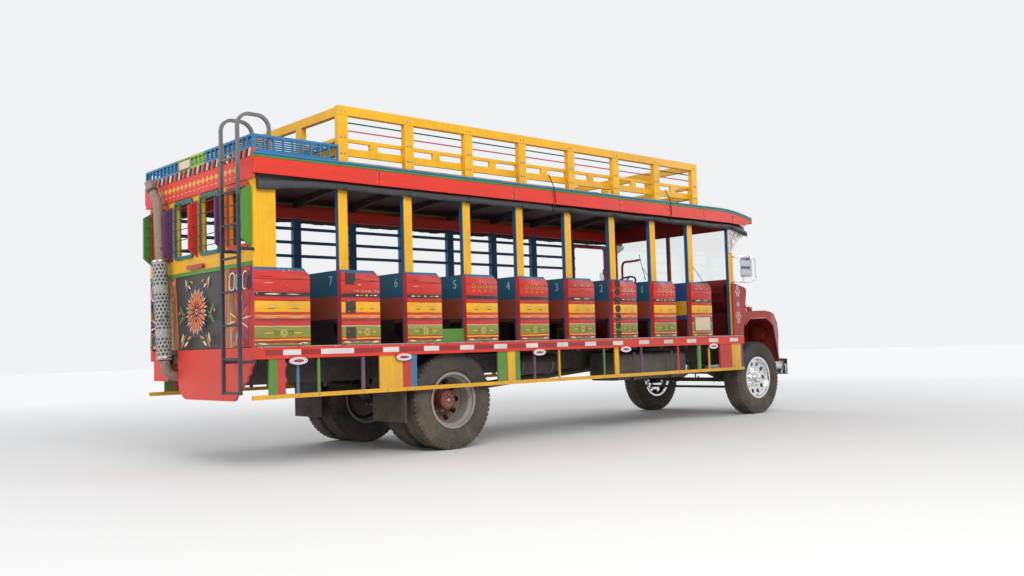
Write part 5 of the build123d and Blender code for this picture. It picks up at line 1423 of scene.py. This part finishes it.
solid_rows = [0, 6, 7, 18, 19, 26]
cell = sheet_cell()
row = copied(cell, [at(CELL * k) for k in range(1, AROUND)])
row_copies = [at(x=CELL * 0.5 * (k % 2), y=RISE * k) for k in range(ROWS) if k not in solid_rows]
sleeve = copied(row, row_copies, keep=False)
plain = []
for k in solid_rows:
    fresh()
    middle = (math.pi * SLEEVE_R, RISE * (k + 0.5), 0)
    bpy.ops.mesh.primitive_grid_add(x_subdivisions=48, y_subdivisions=1, size=1, location=middle)
    bpy.context.object.scale = (math.tau * SLEEVE_R, RISE, 1)
    plain.append(settled(sleeve_steel))
sleeve = wrap(joined([sleeve] + plain))
closed_up(sleeve, 40)
finished(sleeve, "exhaust_sleeve")


def stack_rust_and_shade(tree):
    """Rust, with near-black painted shade on the length inside the sleeve, seen through its holes."""
    height = place(tree)[0]["Z"]
    behind = product(tree, more(tree, height, 1.042), less(tree, height, 2.090))
    return mix_colour(tree, behind, (0.27, 0.195, 0.145, 1), (0.010, 0.009, 0.008, 1))


rusty_shaded_stack = painted("rusty stack with painted shade", stack_rust_and_shade, under=(0.11, 0.055, 0.03), stretch=(1, 1, 0.12), wear=0.75,
                      gloss=0.42, grime=0.35)
repaint(rusty_shaded_stack, "exhaust_stack")
tip = wire([(REAR - 0.1205, 0.793, 2.822), (REAR - 0.1255, 0.808, 2.853)], black_iron, 0.0545, 8)
half_clamp = (HIGH - LOW).normalized() * 0.010
clamps = []
for spot in (LOW.lerp(HIGH, 0.02), LOW.lerp(HIGH, 0.985)):
    clamps.append(rod(spot - half_clamp, spot + half_clamp, 0.080, steel, 40, 0.002))
finished(joined([tip] + clamps), "exhaust_tip")

# %% [markdown]
# Roof rack and ladder. The joints of the rack are bolted, two thin rods run through its bays, and
# the ladder's rungs are welded to its rails with small beads.

# %% Rack bolts, rack rods and ladder welds
RACK_Y, RACK_BOLT_Z, BOLT_PAIR = 1.225, 3.445, 0.044
bolt = rod((RACK[0] + BOLT_PAIR / 2, -RACK_Y + 0.001, RACK_BOLT_Z),
           (RACK[0] + BOLT_PAIR / 2, -RACK_Y - 0.0115, RACK_BOLT_Z), 0.0105, steel, 6, 0.002)
cluster = copied(bolt, [at(-BOLT_PAIR)] + [at(dx, z=dz) for dx in (0, -BOLT_PAIR) for dz in (-0.255, -0.415)])
finished(both_sides(copied(cluster, [at(RACK_STEP * k) for k in range(1, len(RACK))])), "rack_bolts")
pink_paint = painted("pink enamel", (0.62, 0.10, 0.16), wear=0.3)
for z, finish, name, slot in ((3.365, teal_paint, "teal", "metal_light_blue"),
                              (3.285, pink_paint, "pink", "paint_red")):
    line = rod((RACK[0], -1.118, z), (RACK[-1], -1.118, z), 0.0075, finish, 10)
    finished(both_sides(line), "rack_rod_" + name)
LADDER_X, LADDER_Y, RUNG_HALF, FIRST_RUNG, RUNG_STEP = REAR - 0.150, -1.02, 0.1475, 0.730, 0.308
welds = []
for k in range(8):
    for y in (LADDER_Y - RUNG_HALF, LADDER_Y + RUNG_HALF):
        welds.append(ball((LADDER_X, y, FIRST_RUNG + RUNG_STEP * k), 0.0165, black_paint, (1, 0.5, 1), 6))
finished(joined(welds), "ladder_welds")


def ladder_colours(tree):
    parts, where = place(tree)
    rub = noise(tree, where, 11.0, 5.0)
    worn = fade(tree, total(tree, parts["Z"], product(tree, rub, 0.5)), 2.75, 3.15)
    return mix_colour(tree, worn, (0.014, 0.018, 0.032, 1), (0.16, 0.16, 0.17, 1))


ladder_paint = painted("ladder enamel", ladder_colours, under=(0.14, 0.10, 0.08), stretch=(1, 1, 1), wear=0.3)
repaint(ladder_paint, "ladder_rails", "ladder_rungs")

# %% [markdown]
# Under the roof's edge hang the curtains: real sheets of tarpaulin here, rolled up and tied. A
# grid as long as the curtain has its width wound into a loose roll, row by row
# along a spiral whose length is the cloth's own; small waves let it sag between its ties, and a
# Solidify modifier gives the cloth its thickness.

# %% Rolled curtains
TURNS, HANG, ROLL_Y, ROLL_Z = 4.6, 0.110, -1.1965, 2.699


def roll_section():
    """Points across the curtain, from its nailed edge down and round the roll, with their length."""
    points = [(-1.1660 - 0.014 * k / 4, 2.786 - HANG * k / 4) for k in range(4)]
    count = int(13 * TURNS)
    for k in range(count + 1):
        a = math.pi * 0.5 + math.tau * TURNS * k / count
        r = 0.0395 - 0.0270 * k / count
        points.append((ROLL_Y + r * 0.66 * math.cos(a), ROLL_Z + r * math.sin(a)))
    length = sum(math.dist(p, q) for p, q in zip(points, points[1:]))
    return points, length


def rolled_curtain(name, start, end, finish, sag, seed, replaces=()):
    section, width = roll_section()
    fresh()
    columns = int((end - start) / 0.04)
    bpy.ops.mesh.primitive_grid_add(x_subdivisions=columns, y_subdivisions=len(section) - 1, size=1)
    sheet = bpy.context.object
    ties = POSTS + [FRONT_POST]
    for vertex in sheet.data.vertices:
        x = start + (vertex.co.x + 0.5) * (end - start)
        row = round((vertex.co.y + 0.5) * (len(section) - 1))
        y, z = section[row]
        loose = min(1.0, row / 4)
        near = min(abs(x - tie) for tie in ties)
        droop = sag * (1 - math.exp(-(near / 0.2) ** 2)) * loose
        ripple = (0.0030 * math.sin(23.0 * x + seed) + 0.0022 * math.sin(61.0 * x + 2.1 * seed)) * loose
        end_fall = 0.10 * max(0.0, x - VISOR - 0.15) ** 2 / 0.4
        corner = min(1.0, max(0.0, (REAR + 0.80 - x) / 0.70)) ** 1.5
        over = 0.0155 * min(1.0, max(0.0, (REAR + 0.40 - x) / 0.12))
        share = 0.35 * corner * min(1.0, max(0.0, (2.76 - z) / 0.06))
        fall = droop + end_fall + 0.055 * corner * loose + share * (ROLL_Z - z)
        vertex.co = (x, y - over + ripple * 0.7, z + ripple - fall)
    settled(finish, 60)
    pick(sheet)
    edit(bpy.ops.mesh.normals_make_consistent, inside=False)
    thick = sheet.modifiers.new("cloth", "SOLIDIFY")
    thick.thickness = 0.0012
    bpy.ops.object.modifier_apply(modifier="cloth")
    for side in ("_right", "_left"):
        if side == "_left":
            sheet = mirrored(sheet)
        finished(sheet, name + side, replaces=replaces)
    print(name, "is a sheet of", round(end - start, 2), "by", round(width, 2), "m")


# The curtains are one grey tarpaulin. The front curtain takes a near-black copy of it, which is painted shade where the
# cloth tucks under the eave.
grey_sheet = coated("grey tarpaulin", (0.050, 0.052, 0.055), 0.5, dust=0.25, bump=0.5, scale=55.0)
shaded_tarp = coated("tarpaulin in painted shade", (0.014, 0.015, 0.017), 0.38, dust=0.2, bump=0.5, scale=55.0)
rolled_curtain("curtain_rear", REAR + 0.03, -0.55, grey_sheet, 0.005, 0.3, ["tarp_rolls"])
rolled_curtain("curtain_front", -0.53, 3.40, shaded_tarp, 0.014, 1.7)
ties = []
for x in POSTS + [FRONT_POST + 0.05]:
    turns = [math.tau * k / 18 for k in range(18)]
    ring = [(x + 0.002 * math.sin(5 * a), ROLL_Y + 0.0315 * math.cos(a), ROLL_Z + 0.0445 * math.sin(a)) for a in turns]
    ties.append(drawn([ring], black_plastic, radius=0.0035))
finished(both_sides(joined(ties)), "curtain_ties")

# %% [markdown]
# Inside, a pale number stands on the back of each bench, the box over the rear wheels is green, and
# the roof sheet is dark red below. A number is text, made a mesh before its place is applied. The
# colour of the roof sheet follows the side it is seen from, so its shader reads the normal.

# %% Row numbers and inside colours
number_paint = painted("number paint", (0.42, 0.60, 0.52), wear=0.3)
numbers = []
for k in range(7):
    fresh()
    bpy.ops.object.text_add()
    text = bpy.context.object
    text.data.body = str(7 - k)
    text.data.size = 0.135
    text.data.extrude = 0.0008
    text.data.align_x = "CENTER"
    text.data.resolution_u = 4
    bpy.ops.object.convert(target="MESH")
    bpy.context.object.matrix_world = facing("rear", POSTS[k] - POST_HALF - 0.0008, -0.99, 1.735)
    numbers.append(closed_up(settled(number_paint, None)))
finished(joined(numbers), "row_numbers")


def leg_colours(tree):
    """Dark, with the wheel boxes between the second and third bench in green."""
    parts, _ = place(tree)
    dark = (0.045, 0.03, 0.022)
    return bands(tree, parts["X"], [(-5.0, dark), (-2.20, GREEN), (-1.87, dark)], -5.0, 3.0)


def roof_colours(tree):
    down = less(tree, outward(tree)["Z"], -0.4)
    return mix_colour(tree, down, (0.06, 0.07, 0.08, 1), (0.055, 0.014, 0.014, 1))


repaint(painted("bench legs enamel", leg_colours, wear=0.4, gloss=0.5, grime=0.5), "bench_legs")
repaint(painted("roof sheet enamel", roof_colours, wear=0.2, gloss=0.5), "roof_deck")

# %% [markdown]
# The cab has what a driver uses: a padded dash with ribs, two dials, a gear lever, the hand brake,
# three pedals and a hand rail. The dash is one outline drawn from the side and given the width of
# the cab, and the levers are wires drawn through a few points.

# %% Dash, dials and levers
DIAL_X, DIAL_Z, DIAL_R = 2.9235, 1.918, 0.048
dash_line = [(3.136, 1.52), (3.085, 1.52), (3.02, 1.60)]
dash_line += [(2.985 + 0.007 * math.cos(math.pi * k), 1.62 + 0.012 * k) for k in range(13)]
dash_line += [(2.995, 1.79), (3.02, 1.845), (3.07, 1.868), (3.136, 1.872)]
ribbed = coated("ribbed red vinyl", (0.16, 0.012, 0.014), 0.34, dust=0.1, bump=0.1)
dash = drawn([dash_line], ribbed, thick=2.06, matrix=facing("right"), smooth=50)
panels = []
for k in range(34):
    z = 1.17 + 0.0105 * k
    for y0, y1 in ((-1.10, -0.42), (0.42, 1.08)):
        panels.append(rod((3.137, y0, z), (3.137, y1, z), 0.0062, ribbed, 6))
finished(joined([dash] + panels), "dash_pad")
binnacle = box((2.925, 3.02), (0.40, 0.82), (1.845, 1.99), black_plastic, 0.022, 4)
trim, dial_face = [binnacle], painted("dial face", (0.02, 0.02, 0.022), wear=0.0)
plane = facing("rear", DIAL_X)
for u in (-0.505, -0.715):
    rim, disc = oval(u, DIAL_Z, 0.055, 0.055, 36), oval(u, DIAL_Z, DIAL_R, DIAL_R, 36)
    trim.append(flat([rim, disc], chrome, 0.008, plane))
    trim.append(flat([disc], dial_face, 0.003, plane))
    marks = []
    for a in (math.radians(225 - 27 * k) for k in range(11)):
        marks.append(leaf(u + 0.039 * math.cos(a), DIAL_Z + 0.039 * math.sin(a), 0.011, 0.0026, a))
    marks.append(leaf(u - 0.012, DIAL_Z + 0.008, 0.044, 0.004, math.radians(148)))
    trim.append(flat(marks, white_paint, 0.0012, plane @ at(z=0.0024)))
finished(joined(trim), "dials")
lever = wire([(2.78, 0.20, 1.146), (2.78, 0.20, 1.30), (2.74, 0.21, 1.48), (2.66, 0.22, 1.64), (2.62, 0.225, 1.74)],
             black_iron, 0.009, curved=True)
knob = ball((2.618, 0.225, 1.757), 0.026, black_plastic, (1, 1, 1.15), 8)
boot = turned([(0.0, 0.0), (0.062, 0.0), (0.058, 0.012), (0.045, 0.02), (0.047, 0.034), (0.034, 0.042), (0.035, 0.056),
               (0.020, 0.066), (0.0, 0.068)], (0, 0, 0), rubber, 1, 20, 50)
boot = copied(boot, [at(2.78, 0.20, 1.1455) @ Matrix.Rotation(math.pi / 2, 4, "X")], keep=False)
brake = wire([(2.62, 0.33, 1.146), (2.62, 0.33, 1.25), (2.56, 0.33, 1.40), (2.53, 0.33, 1.47)], steel, 0.010,
             curved=True)
grip = rod((2.535, 0.33, 1.46), (2.50, 0.33, 1.535), 0.016, black_plastic, 12, 0.005)
parts = [lever, knob, boot, brake, grip]
for y, wide in ((0.52, 0.085), (0.64, 0.085), (0.745, 0.060)):
    pad = box((-0.006, 0.006), (-wide / 2, wide / 2), (-0.045, 0.045), rubber, 0.004)
    across = (-wide / 2 + 0.006, wide / 2 - 0.006)
    ribs = [box((-0.0095, -0.005), across, (v, v + 0.006), rubber, 0.0015) for v in (-0.032, -0.014, 0.004, 0.022)]
    tilt = at(2.96, y, 1.30) @ Matrix.Rotation(math.radians(-32), 4, "Y")
    parts.append(copied(joined([pad] + ribs), [tilt], keep=False))
    parts.append(wire([(2.968, y, 1.30), (3.03, y, 1.34), (3.07, y, 1.45), (3.08, y, 1.60)], black_iron, 0.007, 2,
                      curved=True))
finished(joined(parts), "levers_and_pedals")
rail = wire([(2.098, 0.05, 1.88), (2.098, 0.05, 2.05), (2.098, 0.05, 2.20), (2.14, 0.05, 2.262), (2.26, 0.05, 2.268),
             (2.47, 0.05, 2.30)], red_paint, 0.017, curved=True)
foot = rod((2.098, 0.05, 1.879), (2.098, 0.05, 1.893), 0.034, red_paint, 20, 0.003)
finished(joined([rail, foot, ball((2.475, 0.05, 2.301), 0.0185, red_paint, (1, 1, 1), 6)]), "hand_rail")

# %% [markdown]
# The front starts with its painted ornaments: a tall figure of white, pink and dark leaves on the
# side of the cowl, and loose strokes on the white brackets under the visor. As on the benches, they
# lie a hair above the paint.

# %% Ornaments of the front
cowl_plane = facing("right", y=-1.1808)
pink_ink = painted("pink ornament", (0.62, 0.16, 0.20), wear=0.2)
white_lines, pink_lines, dark_lines = [], [], []
FIGURE_X, FIGURE_Z, UPRIGHT = 3.158, 1.592, math.pi / 2


def figure_leaf(du, dv, length, width, turn, count):
    """A leaf of the figure, placed from its middle."""
    return leaf(FIGURE_X + du, FIGURE_Z + dv, length, width, turn, count)


for sign in (-1, 1):
    for reach, length, width in ((0.235, 0.085, 0.055), (0.145, 0.075, 0.075)):
        for scale_u, scale_v in ((1.0, 1.0), (0.66, 0.55)):
            white_lines.append(figure_leaf(0.0, sign * reach, length * scale_u, width * scale_v, UPRIGHT, 8))
    for lean in (-1, 1):
        tilt = lean * sign
        for length, width in ((0.105, 0.026), (0.075, 0.012)):
            pink_lines.append(figure_leaf(lean * 0.036, sign * 0.088, length, width, UPRIGHT - tilt * 0.5, 7))
        white_lines.append(figure_leaf(lean * 0.045, sign * 0.185, 0.075, 0.013, UPRIGHT + tilt * 0.55, 6))
        pink_lines.append(figure_leaf(lean * 0.026, sign * 0.262, 0.050, 0.010, UPRIGHT + tilt * 0.5, 6))
for k in range(8):
    a = math.tau * k / 8
    b = a + 0.39
    white_lines.append(figure_leaf(0.028 * math.cos(a), 0.028 * math.sin(a), 0.030, 0.012, a, 6))
    dark_lines.append(figure_leaf(0.026 * math.cos(b), 0.026 * math.sin(b), 0.022, 0.008, b, 6))
white_lines.append(oval(FIGURE_X, FIGURE_Z, 0.009, 0.009, 14))
for outlines, finish, name in ((white_lines, white_paint, "white"), (pink_lines, pink_ink, "pink"),
                               (dark_lines, ink["dark"], "dark")):
    finished(both_sides(flat(outlines, finish, 0.0016, cowl_plane)), "cowl_ornament_" + name)
bracket_plane = facing("right", y=-1.1738)
pink_lines, dark_lines = [], []
PINK_STROKES = [(3.052, 2.50, 0.20, 1.45), (3.115, 2.585, 0.10, 0.2), (3.20, 2.60, 0.09, -0.5),
                (3.29, 2.615, 0.10, 0.25), (3.085, 2.42, 0.09, 0.9)]
DARK_STROKES = [(3.10, 2.53, 0.11, 0.9), (3.155, 2.545, 0.10, 2.2), (3.225, 2.575, 0.09, 0.8), (3.27, 2.585, 0.08, 2.3),
                (3.075, 2.46, 0.10, 1.9), (3.045, 2.60, 0.07, 0.6), (3.35, 2.622, 0.07, 0.4), (3.05, 2.38, 0.06, 1.3)]
for strokes, width, lines in ((PINK_STROKES, 0.020, pink_lines), (DARK_STROKES, 0.012, dark_lines)):
    lines.extend(leaf(u, v, length, width, turn, 7) for u, v, length, turn in strokes)
pink_lines += [oval(3.165, 2.60, 0.016, 0.016, 16), oval(3.165, 2.60, 0.009, 0.009, 16)]
finished(both_sides(flat(pink_lines, pink_ink, 0.0016, bracket_plane)), "bracket_ornament_pink")
finished(both_sides(flat(dark_lines, ink["dark"], 0.0016, bracket_plane)), "bracket_ornament_dark")

# %% [markdown]
# Glass and bright metal come next: faces in the mirrors, a bowl, ribbed lens and rim in each
# headlamp, a turn lamp on each fender, and a frame with fine mesh behind the grille. The headlamp's
# parts are spun like the tyres, and then turned to look forward.

# %% Mirrors, lamps and grille
HEADLAMP_X, HEADLAMP_Y, HEADLAMP_Z, LENS_R = 4.3855, -0.8, 1.18, 0.075


def headlamp_part(profile, finish, steps, smooth):
    spun = turned(profile, (0, 0, 0), finish, 1, steps, smooth)
    return copied(spun, [at(HEADLAMP_X, HEADLAMP_Y, HEADLAMP_Z) @ Matrix.Rotation(-math.pi / 2, 4, "Z")], keep=False)


mirror_face = metal("mirror glass", (0.62, 0.66, 0.70), 0.02, dust=0.0)
mirror_rim = rounded((1.268, 1.442), (1.968, 2.242), 0.024)
back = flat([mirror_rim], chrome, 0.006, facing("rear", 3.1315))
glass_line = rounded((1.280, 1.430), (1.980, 2.230), 0.018)
face = flat([glass_line], mirror_face, 0.003, facing("rear", 3.1275))
opening = rounded((1.281, 1.429), (1.981, 2.229), 0.018)
edge = flat([mirror_rim, opening], chrome, 0.006, facing("rear", 3.1270))
clamps = [rod((3.1505, -1.298, v), (3.1605, -1.298, v), 0.020, chrome, 16, 0.003) for v in (2.00, 2.21)]
finished(both_sides(joined([back, face, edge] + clamps)), "mirror_faces")
bezel = headlamp_part([(0.086, 0.0), (0.096, 0.012), (0.106, 0.012), (0.114, 0.004), (0.115, -0.020), (0.1125, -0.022),
                       (0.100, -0.004), (0.088, -0.006), (0.086, 0.0)], chrome, 48, 50)
bowl = headlamp_part([(0.0, -0.021), (0.035, -0.020), (0.065, -0.015), (0.086, -0.004), (0.088, -0.006),
                      (0.066, -0.018), (0.035, -0.0215), (0.0, -0.0215)], chrome, 40, 60)
lens = headlamp_part([(0.0, 0.018), (0.030, 0.0165), (0.060, 0.011), (0.083, 0.002), (0.090, -0.002), (0.088, -0.004),
                      (0.060, 0.007), (0.030, 0.013), (0.0, 0.0145)], glass, 40, 60)
bars = []
for v in (-0.045, -0.022, 0.0, 0.022, 0.045):
    rise = math.sqrt(LENS_R ** 2 - v * v)
    line = [(4.3965, HEADLAMP_Y + v, HEADLAMP_Z - rise), (4.3985, HEADLAMP_Y + v, HEADLAMP_Z + rise)]
    bars.append(wire(line, glass, 0.0016, 1))
finished(both_sides(joined([bezel, bowl, lens] + bars)), "headlamps")
foot = box((3.70, 3.79), (-0.985, -0.955), (1.500, 1.524), black_plastic, 0.004)
turn_lens = box((3.705, 3.785), (-1.0, -0.94), (1.522, 1.572), amber, 0.012, 4)
finished(both_sides(joined([foot, turn_lens])), "turn_lamps")
ring = [(4.3275, u, v) for u, v in rounded((-0.412, 0.412), (1.028, 1.612), 0.03)]
grille_parts = [drawn([ring], chrome, radius=0.011, sides=3)]
for y in (-0.39 + 0.0205 * k for k in range(39)):
    grille_parts.append(rod((4.2935, y, 1.045), (4.2935, y, 1.595), 0.0022, black_iron, 6))
for z in (1.055 + 0.0213 * k for k in range(26)):
    grille_parts.append(rod((4.2895, -0.398, z), (4.2895, 0.398, z), 0.0022, black_iron, 6))
finished(joined(grille_parts), "grille_mesh")

# %% [markdown]
# Each fender has a flat flank with a cut corner, a rolled lip round its wheel arch, and a seal
# where the hood meets it. Flank and lip are drawn flat, and their forward part is then leaned inward
# vertex by vertex, so that both follow the fender's corner.

# %% Fender flanks, lips and seals
CORNER_START, CORNER_LENGTH, CORNER_IN = REAR_AXLE + 6.000, 0.320, 0.090


def swept(piece):
    """Lean the forward part of a flat fender side inward, along the fender's cut corner."""
    for vertex in piece.data.vertices:
        ahead = vertex.co.x - CORNER_START
        if ahead < CORNER_LENGTH:
            vertex.co.y += max(0.0, -0.005 + 0.297 * ahead)
        else:
            vertex.co.y += CORNER_IN + 0.778 * (ahead - CORNER_LENGTH)
    return closed_up(piece, 30)


arch = [(6.310, 0.742), (6.255, 0.875), (6.200, 1.010), (6.140, 1.145), (6.080, 1.280), (6.000, 1.326)]
edge = [(6.000, 1.470), (6.060, 1.466), (6.122, 1.452), (6.200, 1.388), (6.277, 1.322), (6.320, 1.180), (6.337, 1.125),
        (6.365, 1.010), (6.392, 0.895), (6.421, 0.742)]
flank = flat([[(REAR_AXLE + x, z) for x, z in arch + edge]], body_paint, 0.006, facing("right", y=-1.1705))
finished(both_sides(swept(flank)), "fender_flanks")
lip = arch[:5] + [(5.98, 1.338), (5.88, 1.395), (5.66, 1.389), (5.45, 1.382), (5.33, 1.290)]
lip_wire = wire([(REAR_AXLE + x, -1.1765, z) for x, z in lip], body_paint, 0.0115)
finished(both_sides(swept(lip_wire)), "fender_lips")
filler = [(3.84, 1.48), (4.208, 1.40), (4.208, 1.504), (3.84, 1.504)]
seal = [flat([filler], body_paint, 0.008, facing("right", y=-0.594)),
        box((3.39, 4.208), (-0.598, -0.490), (1.498, 1.506), rubber, 0.002),
        box((4.208, 4.216), (-0.598, -0.490), (1.36, 1.506), body_paint, 0.002)]
finished(both_sides(joined(seal)), "engine_bay_seals")

# %% [markdown]
# Two wipers lie on the windshield, and rubber latches hold the hood, with which they open. The
# bumper is one bent strip of bright sheet, with folded lips and pressed lines, so an outline seen
# from above is drawn and given its height, and a Bevel modifier rounds its edges.

# %% Wipers, latches and bumper
PIVOT_Z, SWEPT_Z = 1.905, 2.25
wiper = []
for y0, y1 in ((0.30, 0.62), (-0.62, -0.30)):
    y_tip = y0 + (y1 - y0) * 0.78
    arm = [(3.148, y0, PIVOT_Z), (3.162, y0 + (y1 - y0) * 0.3, 2.05), (3.146, y_tip, SWEPT_Z)]
    blade = [(3.139, y_tip - 0.06, 2.055), (3.143, y_tip, SWEPT_Z), (3.139, y_tip + 0.05, 2.46)]
    wiper.append(rod((3.135, y0, PIVOT_Z), (3.157, y0, PIVOT_Z), 0.013, black_iron, 14, 0.003))
    wiper.append(wire(arm, black_iron, 0.0045, 2, curved=True))
    wiper.append(wire(blade, rubber, 0.0055, 2))
finished(joined(wiper), "wipers")
latch = joined([box((3.60, 3.66), (-0.618, -0.598), (1.535, 1.60), rubber, 0.006),
                box((3.615, 3.645), (-0.612, -0.597), (1.60, 1.668), rubber, 0.006),
                rod((3.63, -0.597, 1.655), (3.63, -0.622, 1.655), 0.012, steel, 12, 0.002)])
finished(both_sides(copied(latch, [at(0.0, 0.018), at(0.42, 0.056)], keep=False)), "hood_latches", "hood")
FRONT = REAR_AXLE + 6.590
bend = [(0.0, 0.930), (-0.003, 0.972), (-0.0125, 1.012), (-0.0285, 1.050), (-0.052, 1.086), (-0.082, 1.113),
        (-0.115, 1.130)]
face = [(FRONT - 0.007 + x, y) for x, y in bend]
outer = face[::-1] + [(x, -y) for x, y in face]
inner = [(x - 0.006, y * 0.9945) for x, y in outer]


def eased(piece, width):
    """Round the sharp edges of a drawn shape with an applied Bevel modifier."""
    pick(piece)
    rim = piece.modifiers.new("edge", "BEVEL")
    rim.width, rim.segments, rim.limit_method, rim.angle_limit = width, 3, "ANGLE", math.radians(50)
    bpy.ops.object.modifier_apply(modifier="edge")
    return closed_up(piece, 40)


parts = [eased(flat([outer + inner[::-1]], chrome, 0.240, at(z=0.665)), 0.0025)]
lips = [(x - 0.004, y * 0.997) for x, y in outer]
for z in (0.5515, 0.7785):
    parts.append(flat([lips], chrome, 0.009, at(z=z)))
for z in (0.610, 0.635, 0.695, 0.720):
    parts.append(wire([(x - 0.0005, y, z) for x, y in outer], chrome, 0.0035, 2))
for side in (-1, 1):
    y = sorted((side * 0.370, side * 0.430))
    for x in ((4.425, FRONT - 0.012), (4.375, 4.426)):
        parts.append(box(x, y, (0.685, 0.775), black_iron, 0.003))
finished(joined(parts), "bumper_shell", replaces=["front_bumper"])
BOLT_Y, BOLT_Z, BOLT_ACROSS, BOLT_DOWN = -0.39, 0.748, -0.46, -0.166
bolt = joined([rod((FRONT - 0.0075, BOLT_Y, BOLT_Z), (FRONT - 0.0035, BOLT_Y, BOLT_Z), 0.020, steel, 20, 0.001),
               rod((FRONT - 0.004, BOLT_Y, BOLT_Z), (FRONT - 0.0002, BOLT_Y, BOLT_Z), 0.012, steel, 6, 0.001)])
bolts = copied(bolt, [at(z=BOLT_DOWN), at(y=BOLT_ACROSS), at(y=BOLT_ACROSS, z=BOLT_DOWN)])
hook = wire([(4.47, -0.62, 0.556), (4.47, -0.62, 0.50), (4.485, -0.62, 0.462), (4.525, -0.62, 0.455),
             (4.548, -0.62, 0.480), (4.545, -0.62, 0.512)], black_iron, 0.012, curved=True)
finished(both_sides(joined([bolts, hook])), "bumper_bolts")

# %% [markdown]
# From below one sees U-bolts and plates on the leaf springs, brake chambers and an air tank, the
# joints of the propeller shaft, and two rows of rivets along each frame rail. Chambers and tank are
# spun like the tyres, and one rivet is copied along the rail.

# %% Under the floor
SPRING_Y = 0.39


def u_bolt(x, low, top):
    """A bar bent over the spring, with a nut under the axle on each leg."""
    legs, bends = (-SPRING_Y - 0.044, -SPRING_Y + 0.044), (-SPRING_Y - 0.030, -SPRING_Y + 0.030)
    line = [(x, legs[0], low), (x, legs[0], top - 0.01), (x, bends[0], top + 0.006), (x, bends[1], top + 0.006),
            (x, legs[1], top - 0.01), (x, legs[1], low)]
    bar = wire(line, black_iron, 0.008, 2)
    nuts = [rod((x, y, low + 0.006), (x, y, low + 0.022), 0.014, steel, 6, 0.002) for y in legs]
    return joined([bar] + nuts)


parts = []
for centre, seat, thick, below in ((FRONT_AXLE, 0.520, 0.062, 0.455), (REAR_AXLE, 0.601, 0.084, 0.44)):
    top = seat + thick
    parts += [u_bolt(centre + s * 0.083, below, top + 0.022) for s in (-1, 1)]
    parts.append(box((centre - 0.095, centre + 0.095), (-SPRING_Y - 0.055, -SPRING_Y + 0.055),
                     (top + 0.0005, top + 0.020), black_iron, 0.004))
finished(both_sides(joined(parts)), "spring_u_bolts")
chamber = turned([(0.0, -0.075), (0.055, -0.072), (0.078, -0.045), (0.080, -0.012), (0.088, -0.008), (0.088, 0.008),
                  (0.080, 0.012), (0.076, 0.05), (0.050, 0.070), (0.0, 0.073)], (0, 0, 0), black_iron, 1, 32, 40)
LENGTHWISE = Matrix.Rotation(math.pi / 2, 4, "Z")
chamber = copied(chamber, [at(REAR_AXLE - 0.20, -0.29, 0.60) @ LENGTHWISE], keep=False)
push = rod((REAR_AXLE - 0.13, -0.29, 0.60), (REAR_AXLE - 0.035, -0.29, 0.575), 0.009, steel, 12)
finished(both_sides(joined([chamber, push])), "brake_chambers")
tank = turned([(0.0, -0.42), (0.07, -0.412), (0.115, -0.38), (0.125, -0.34), (0.125, 0.34), (0.115, 0.38),
               (0.07, 0.412), (0.0, 0.42)], (0, 0, 0), black_iron, 1, 36, 40)
TANK_Y, TANK_Z, STRAP_R, STRAPS_X = -0.565, 0.862, 0.129, (-0.60, -0.10)
tank = copied(tank, [at(-0.35, TANK_Y, TANK_Z) @ LENGTHWISE], keep=False)
straps = [drawn([[(x, y, z) for y, z in oval(TANK_Y, TANK_Z, STRAP_R, STRAP_R, 28)]], steel, radius=0.005, sides=1)
          for x in STRAPS_X]
plates = [box((x - 0.02, x + 0.02), (-0.445, -0.431), (0.80, 0.985), black_iron, 0.003) for x in STRAPS_X]
finished(joined([tank] + straps + plates), "air_tank")
joint = []
for x, z in ((2.728, 0.860), (REAR_AXLE + 0.345, 0.537)):
    for turn in (0, math.pi / 2):
        c, s = math.cos(turn), math.sin(turn)
        joint.append(rod((x, -0.072 * c, z - 0.072 * s), (x, 0.072 * c, z + 0.072 * s), 0.019, steel, 14, 0.003))
finished(joined(joint), "shaft_joints")
rivet = rod((-4.15, -0.429, 0.945), (-4.15, -0.4345, 0.945), 0.010, black_iron, 8, 0.0025)
pair = copied(rivet, [at(z=-0.11)])
finished(both_sides(copied(pair, [at(0.21 * k) for k in range(1, 40)])), "frame_rivets")
